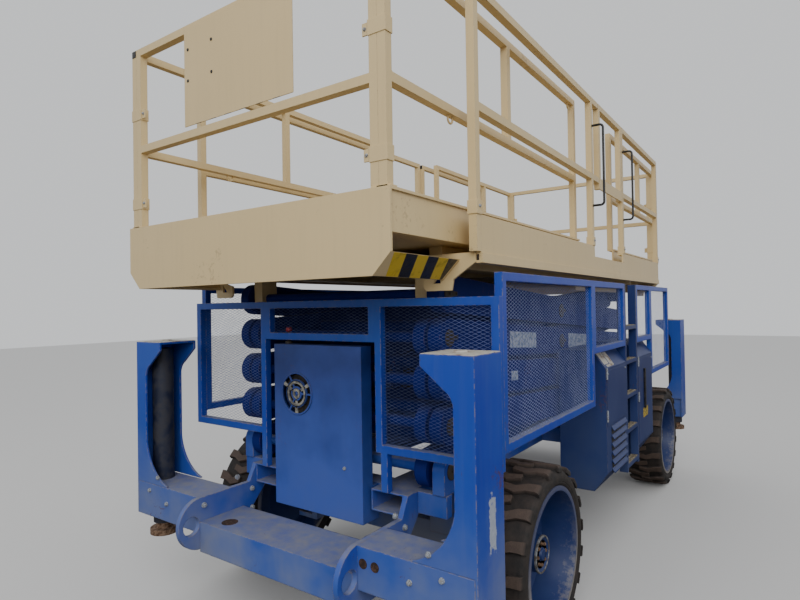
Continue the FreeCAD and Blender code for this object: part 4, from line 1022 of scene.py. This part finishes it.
# %% [markdown]
# ## Front panel
# The sheet between the front rails is stitched to them: a stretch of weld, a gap, a stretch of
# weld. Four dark screws on its left half hold something behind it. Weld beads are rows of
# overlapping drops; a drop every few millimetres gives the right ripple when light grazes it.

# %% Stitch welds and screws
panel_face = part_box("extension_front_rails")[0].y
panel_half, panel_bottom, panel_top = 0.388, 2.720, 3.220
stitch_pitch, stitch_long, gap_long = 112 * MM, 55 * MM, 50 * MM
bead_radius = 3.2 * MM
screw = [(0, 8 * MM), (1.5 * MM, 8 * MM), (4 * MM, 6 * MM), (4.4 * MM, 3 * MM)]


def every(step, start, stop):
    """Places from start up to, but not at, stop, a step apart."""
    return [start + k * step for k in range(math.ceil((stop - start) / step))]


def weld_bead(shape, start, end, out, radius):
    """Row of flattened drops from start to end, raised along out."""
    start, end, out = Vector(start), Vector(end), Vector(out).normalized()
    count = max(2, int((end - start).length / (radius * 0.9)))
    for k in range(count):
        spot = start.lerp(end, (k + 0.5) / count)
        shape.lathe(spot - out * radius * 0.3, out,
                    [(0, radius), (radius * 0.45, radius * 0.85), (radius * 0.62, radius * 0.4)],
                    8)


beads, gaps, screws = Shape(), Shape(), Shape()
bead_y = panel_face + 2 * MM
for z in (panel_bottom + 6 * MM, panel_top - 6 * MM):
    for x in every(stitch_pitch, -panel_half + 30 * MM, panel_half - 60 * MM):
        weld_bead(beads, (x, bead_y, z), (x + stitch_long, bead_y, z), facing_front, bead_radius)
# painted shadow: thin black strips along the panel's lower edge fill the gaps between the welds
for x in every(stitch_pitch, -panel_half + 88 * MM, panel_half - gap_long):
    gaps.block((x, x + gap_long), (panel_face - 0.3 * MM, panel_face + 0.5 * MM),
               (panel_bottom - 1.2 * MM, panel_bottom + 1.2 * MM))
for x in (-0.357, -0.168):
    for z in (3.109, 2.950):
        screws.lathe((x, panel_face, z), facing_front, screw, 16)
beads.piece("panel_welds", "extension", "platform_paint", platform_enamel, True)
gaps.piece("panel_shadow_gaps", "extension", "handle_black", black_enamel_and_shade)
screws.piece("panel_screws", "extension", "handle_black", black_enamel_and_shade)
print("beads of", len(beads.faces), "faces, four screws")

# %% [markdown]
# ## Deck floors
# Chequer plate gives boots a grip: lozenges rolled up from the sheet, each row turned against
# the next. A bump pattern would vanish at the floor's grazing angles, so the lozenges
# are small raised meshes, kept low enough that a trolley still rolls over them.

# %% Chequer plate
lozenge_pitch, lozenge_half, lozenge_side = 32 * MM, 13 * MM, 3.5 * MM
ridge_half, ridge_high = 6 * MM, 1.8 * MM
floors = {
    "platform": ((-0.86, -0.235), (0.86, 0.655), 2.030),
    "extension": ((-0.865, -2.535), (0.865, -0.265), 2.087),
    "rear_extension": ((-0.865, 0.685), (0.865, 2.535), 2.087),
}


def chequer(shape, low, high, level):
    """Raised lozenges on a level floor between two corners (x, y)."""
    for i in range(int((high[0] - low[0]) / lozenge_pitch)):
        for j in range(int((high[1] - low[1]) / lozenge_pitch)):
            centre = Vector((low[0] + (i + 0.5) * lozenge_pitch,
                             low[1] + (j + 0.5) * lozenge_pitch, level))
            a = math.radians(45 if (i + j) % 2 else -45)
            along, beside = (Vector((math.cos(a), math.sin(a), 0)),
                             Vector((-math.sin(a), math.cos(a), 0)))
            ridge = centre + Vector((0, 0, ridge_high))
            start = len(shape.points)
            shape.points += [centre - along * lozenge_half, centre - beside * lozenge_side,
                             centre + along * lozenge_half, centre + beside * lozenge_side,
                             ridge + along * ridge_half, ridge - along * ridge_half]
            for face in ((0, 1, 5), (1, 2, 4), (1, 4, 5), (2, 3, 4), (3, 0, 5), (3, 5, 4)):
                shape.faces.append([start + k for k in face])


for body, (low, high, level) in floors.items():
    plate = Shape()
    chequer(plate, low, high, level)
    plate.piece("chequer_plate_" + body, body, "platform_paint", platform_enamel)
    print("chequer plate", body, len(plate.faces), "triangles")

# %% [markdown]
# ## Side cabinets
# The engine breathes through pressed louvres in its cabinet, and the cabinets close with flat
# doors on pin hinges. Louvres are slits whose upper lip is pushed out; blades set over a dark
# plate, which is painted shade inside the slits, show the same slits without opening the
# closed steel box behind them.

# %% Doors, louvres, latch and tapes
cabinet_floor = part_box("side_cabinets")[0].z
cabinets = [pair for pair in solids_of("side_cabinets") if pair[0].z < cabinet_floor + 1 * MM]
door_thick, door_border = 2.5 * MM, 18 * MM
louvres, louvre_pitch = 6, 58 * MM
# lip's section: out from the cabinet's face, and up
louvre_lip = ((1 * MM, 40 * MM), (19 * MM, 12 * MM), (19 * MM, 3 * MM), (1 * MM, 24 * MM))
hinge = [(0, 6 * MM), (36 * MM, 6 * MM), (37 * MM, 7.5 * MM), (40 * MM, 7.5 * MM),
         (41 * MM, 6 * MM), (78 * MM, 6 * MM)]
doors, dark, blades, fixings, tapes = Shape(), Shape(), Shape(), Shape(), Shape()
for low, high in cabinets:
    hand = 1 if low.x > 0 else -1
    face = high.x if hand > 0 else low.x
    door_ys = (low.y + door_border, high.y - door_border)
    door_low, door_high = low.z + 150 * MM, high.z - 136 * MM

    def slab(shape, from_face, to_face, ys, zs):
        """Add a plate that lies between two distances out from the cabinet's face."""
        shape.block((face + hand * from_face, face + hand * to_face), ys, zs)

    if low.y < 0:
        top_of_louvres = low.z + 440 * MM
        slab(doors, 0, door_thick, door_ys, (top_of_louvres + 8 * MM, door_high))
        # painted shade: the dark plate behind the louvres stands for the dark inside the slits
        slab(dark, 0, 1.2 * MM, (low.y + 120 * MM, high.y - 60 * MM),
             (door_low - 40 * MM, top_of_louvres - 8 * MM))
        for k in range(louvres):
            z = door_low - 44 * MM + k * louvre_pitch
            blades.push([(face + hand * out, low.y + 118 * MM, z + up) for out, up in louvre_lip],
                        (0, high.y - low.y - 176 * MM, 0))
    else:
        slab(doors, 0, door_thick, door_ys, (door_low - 8 * MM, door_high))
        slab(dark, 2 * MM, 16 * MM, (low.y + 206 * MM, low.y + 240 * MM),
             (low.z + 400 * MM, low.z + 735 * MM))
        slab(tapes, door_thick, door_thick + 1 * MM, (low.y + 170 * MM, low.y + 350 * MM),
             (low.z + 325 * MM, low.z + 405 * MM))
    for z in (door_high - 60 * MM, door_low + 330 * MM):
        fixings.lathe((face + hand * 5 * MM, low.y + 14 * MM, z), facing_up, hinge, 12)
    for y in (low.y + 40 * MM, high.y - 40 * MM):
        fixings.bolt((face + hand * door_thick, y, door_high - 24 * MM), (hand, 0, 0), 7 * MM)
# Reflective tape gone matt: plain yellow, scratched through to the blue.
worn_tape = stained("worn_yellow_tape", "#C9A92B", "#5E5A45", 0.5, 0.0, 12, 0.35)
rounded(doors.piece("cabinet_doors", "chassis", "chassis_paint", side_shaded_enamel), 1.2 * MM)
rounded(blades.piece("cabinet_louvres", "chassis", "chassis_paint", side_shaded_enamel), 1.2 * MM)
rounded(dark.piece("cabinet_latch_and_louvre_shade", "chassis", "handle_black", black_enamel_and_shade), 1 * MM)
fixings.piece("cabinet_fixings", "chassis", "rod_steel", zinc)
tapes.piece("cabinet_tapes", "chassis", "handle_black", worn_tape)
print(len(cabinets), "cabinets,", len(blades.faces) // 6, "louvres")

# %% [markdown]
# ## Ladder treads
# The ladder's bars are topped with punched strips, whose raised rims bite into a muddy sole.
# Holes could be cut by a Boolean, but at this size a turned rim on a flat strip shows the same.

# %% Treads
ladder_low, ladder_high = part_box("ladder")
treads, first_tread, tread_pitch, rim_pitch = 5, 0.556, 264 * MM, 24 * MM
punched_rim = [(0, 7 * MM), (2 * MM, 5.5 * MM), (3.4 * MM, 4.2 * MM), (2.2 * MM, 3.2 * MM)]
strips = Shape()
for k in range(treads):
    z = first_tread + k * tread_pitch
    strips.block((ladder_low.x + 4 * MM, ladder_high.x - 4 * MM),
                 (ladder_low.y + 30 * MM, ladder_high.y - 30 * MM), (z, z + 2.5 * MM))
    for y in every(rim_pitch, ladder_low.y + 34 * MM, ladder_high.y - 40 * MM):
        for x in (ladder_low.x + 16 * MM, ladder_high.x - 16 * MM):
            strips.lathe((x, y, z + 2 * MM), facing_up, punched_rim, 10)
# Punched tread strips: galvanised sheet, worn bright along the edges.
galvanised = stained("galvanised_tread_strip", "#A9A69B", "#84765C", 0.5, 0.5, 14, 0.5)
strips.piece("ladder_treads", "chassis", "rod_steel", galvanised)
print("treads:", len(strips.faces), "faces")

# %% [markdown]
# ## The horn
# It sits in the front cabinet as a shallow cone behind a cast ring on three short spokes. The
# cone is turned. The ring is flat, so it is laid out of short sectors, each a small outline
# pushed forward, which also makes the spokes.

# %% Horn cone and ring
horn_x, horn_z, ring_thick, sectors = -0.141, 1.315, 5 * MM, 24
horn_cone = [(0, 112 * MM), (16 * MM, 112 * MM), (14 * MM, 104 * MM), (2 * MM, 60 * MM),
             (-4 * MM, 34 * MM), (6 * MM, 30 * MM), (12 * MM, 18 * MM), (14 * MM, 6 * MM)]
horn, horn_ring = Shape(), Shape()
horn.lathe((horn_x, cabinet_face + 40 * MM, horn_z), facing_front, horn_cone, 48)
horn.piece("horn_cone", "chassis", "dark_steel", greasy_iron, True)
ring_centre = Vector((horn_x, cabinet_face - 1 * MM, horn_z))


def ring_sector(from_radius, to_radius, from_angle, to_angle, steps):
    """Flat sector of a ring on the cabinet's face; radii in millimetres."""
    outline = []
    for radius, turns in ((from_radius, range(steps + 1)), (to_radius, range(steps, -1, -1))):
        for k in turns:
            a = from_angle + (to_angle - from_angle) * k / steps
            outline.append(ring_centre + Vector((math.sin(a), 0, math.cos(a))) * radius * MM)
    horn_ring.push(outline, (0, -ring_thick, 0))


for k in range(sectors):
    start, stop = 2 * math.pi * k / sectors, 2 * math.pi * (k + 1) / sectors
    ring_sector(56, 74, start, stop, 2)
    ring_sector(14, 28, start, stop, 1)
for k in range(3):
    a = math.radians(60 + 120 * k)
    ring_sector(28, 56, a - 0.16, a + 0.16, 2)
    ring_sector(74, 108, a - 0.10, a + 0.10, 2)
# Cast alloy of the horn's ring under a film of soot.
horn_alloy = stained("sooted_cast_alloy", "#A8A69C", "#6C6A66", 0.55, 0.2, 30, 0.4)
horn_ring.piece("horn_ring", "chassis", "dark_steel", horn_alloy)
print("horn ring:", len(horn_ring.faces), "faces")

# %% [markdown]
# ## Tower caps and a worn lid
# Each tower is closed by a cap whose paint the weather has taken first, since rain stands on
# it, and boots have worn the sloped lid beside the ladder. A painted mask could bare both, but
# thin sheets in the primer's own colour keep a crisp edge and need no map.

# %% Tower caps and worn patch
cap_long, cap_border = 242 * MM, 3 * MM
cap_boss = [(0, 30 * MM), (6 * MM, 30 * MM), (8 * MM, 26 * MM), (8 * MM, 8 * MM)]
tower_caps = Shape()
for low, high in solids_of("towers"):
    hand = 1 if low.x > 0 else -1
    outer = high.x if hand > 0 else low.x
    cap_xs = (outer - hand * cap_border, outer - hand * cap_long)
    tower_caps.block(cap_xs, (low.y + cap_border, high.y - cap_border),
                     (high.z - 1 * MM, high.z + 2.5 * MM))
    tower_caps.lathe((sum(cap_xs) / 2, (low.y + high.y) / 2, high.z + 2 * MM), facing_up,
                     cap_boss, 24)
# Pale primer that shows where the blue top coat has gone, stained by rust.
worn_primer = stained("worn_pale_primer", "#BDB9AE", "#7C5A42", 0.7, 0.0, 45, 0.22)
rounded(tower_caps.piece("tower_caps", "chassis", "chassis_paint", worn_primer), 2 * MM)

# The sloped lid over the engine has lost its coat where boots step on it from the ladder.
slope_top, slope_foot = Vector((0.99, 0, 1.465)), Vector((1.08, 0, 1.345))
outward = Vector((slope_top.z - slope_foot.z, 0, slope_foot.x - slope_top.x)).normalized()
from_y = min(low.y for low, high in cabinets)
# each patch: from and to along Y in mm, from and to as shares of the slope
patches = ((30, 150, 0.10, 0.80), (158, 250, 0.22, 0.92), (60, 230, 0.84, 0.95))
patch = Shape()
for y0, y1, share0, share1 in patches:
    upper, lower = slope_top.lerp(slope_foot, share0), slope_top.lerp(slope_foot, share1)
    patch.push([(p.x, from_y + y * MM, p.z) for p, y in
                ((upper, y0), (upper, y1), (lower, y1 - 8), (lower, y0 + 6))],
               outward * 0.8 * MM)
patch.piece("slope_worn_patch", "chassis", "chassis_paint", worn_primer)
print("four tower caps,", len(patches), "worn patches")

# %% [markdown]
# ## Hooks and the lowering knob
# Harness lanyards clip into open hooks under the rails of the roll-out deck. A hook is a bar
# bent round a peg, so its middle line is an arc and the bar is a ring of corners carried along
# it. The red knob on the front cabinet lowers the deck by hand when the engine has failed.

# %% Hooks and knob
hook_radius, hook_stem, hook_bar, hook_steps, bar_sides = 21 * MM, 14 * MM, 5 * MM, 14, 8


def bent_bar(shape, path, radius):
    """Round bar along a middle line that lies in a plane of constant x."""
    sideways, last = Vector((1, 0, 0)), len(path) - 1
    for k, spot in enumerate(path):
        along = (path[min(k + 1, last)] - path[max(k - 1, 0)]).normalized()
        beside = along.cross(sideways)
        for j in range(bar_sides):
            a = 2 * math.pi * j / bar_sides
            shape.points.append(spot + (sideways * math.cos(a) + beside * math.sin(a)) * radius)
    shape.tube(len(path), bar_sides)


side_low, side_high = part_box("extension_side_rails")
under_middle = side_high.z - mid_rail_down - tube_wide
hooks = Shape()
for hand, y, under in ((1, -2.00, under_middle), (-1, -1.88, under_middle),
                       (1, side_high.y - 70 * MM, side_high.z - tube_wide)):
    x = hand * (side_high.x - tube_wide / 2)
    path = [Vector((x, y, under + 2 * MM)), Vector((x, y, under - hook_stem))]
    for k in range(1, hook_steps + 1):
        a = math.radians(270 * k / hook_steps)
        path.append(Vector((x, y - hook_radius * (1 - math.cos(a)),
                            under - hook_stem - hook_radius * math.sin(a))))
    bent_bar(hooks, path, hook_bar)
hooks.piece("lanyard_hooks", "extension", "platform_paint", platform_enamel, True)

valve = [(0, 22 * MM), (14 * MM, 22 * MM), (16 * MM, 10 * MM), (70 * MM, 8 * MM)]
knob_up = 68 * MM
knob_outline = [(0, 10 * MM), (4 * MM, 17 * MM), (18 * MM, 19 * MM), (26 * MM, 14 * MM),
                (28 * MM, 4 * MM)]
foot = Vector((-0.265, (cabinet_low.y + cabinet_high.y) / 2, cabinet_high.z - 1 * MM))
stalk, knob = Shape(), Shape()
stalk.lathe(foot, facing_up, valve, 16)
knob.lathe(foot + facing_up * knob_up, facing_up, knob_outline, 20)
# Moulded plastic of the knob, pale red and a little dirty.
red_plastic = stained("red_moulded_plastic", "#B5302A", "#6E2A26", 0.4, 0.0, 12, 0.3)
stalk.piece("lowering_valve", "chassis", "dark_steel", greasy_iron)
knob.piece("lowering_knob", "chassis", "dark_steel", red_plastic, True)
print("hooks of", round(2 * hook_radius / MM), "mm, knob at", round(foot.z + knob_up, 3), "m")

# %% [markdown]
# ## Tape and blank plates
# Slanted yellow and black tape marks the underside edge of the front deck. The plates on
# the arms and on the right tower are left blank: only their pale, scratched sheet is drawn.

# %% Stripes
stripe_from, stripe_long, stripe_slant, sheet_thick = -2.530, 82 * MM, 60 * MM, 0.8 * MM
# upper and lower edge of the stripes on the deck's slanted side, as distance out and height
upper_edge, lower_edge = (0.898, 1.997), (0.812, 1.911)
# Warning tape of the deck's edge, which nothing rubs against.
clean_tape = stained("yellow_warning_tape", "#DDBB22", "#A88F2A", 0.45, 0.0, 60, 0.15)
for shift, name, finish in ((0, "yellow_stripes", clean_tape), (1, "black_stripes", black_enamel_and_shade)):
    stripes = Shape()
    for hand in (-1, 1):
        for k in range(3):
            y = stripe_from + (2 * k + shift) * stripe_long
            end_y = min(y + stripe_slant + stripe_long, stripe_from + 6 * stripe_long)
            corners = [(hand * x, along, z) for (x, z), along in
                       ((upper_edge, y), (upper_edge, y + stripe_long), (lower_edge, end_y),
                        (lower_edge, y + stripe_slant))]
            stripes.push(corners, Vector((hand, 0, -1)).normalized() * sheet_thick)
    stripes.piece(name, "extension", "handle_black", finish)
print("three stripes of each colour on both edges")

# %% Blank plates
# Thin coated sheet, weathered pale and scratched down to a bluish grey.
pale_plate = stained("scratched_pale_sheet", "#B9BEC4", "#6F7F9B", 0.45, 0.0, 26, 0.4)
arm_slope = -pin_step / (rear_pin_y - front_pin_y)
arm_half_high = 95 * MM
# each plate: from and to along Y, and its height as a share of the arm's
arm_plates = {"outer_3": (3, [(-1.11, -0.69, 0.52), (-0.04, 0.44, 0.62)]),
              "outer_2": (2, [(-1.10, -1.00, 0.30)])}
for body, (level, plates) in arm_plates.items():
    sheet = Shape()
    for y0, y1, share in plates:
        corners = []
        for y, up in ((y0, -1), (y1, -1), (y1, 1), (y0, 1)):
            middle = front_pin_z + level * pin_step + arm_slope * (y - front_pin_y)
            corners.append((arm_face, y, middle + up * share * arm_half_high))
        sheet.push(corners, (sheet_thick, 0, 0))
    sheet.piece("blank_plates_" + body, body, "rod_steel", pale_plate)
print("plates on", len(arm_plates), "arms")
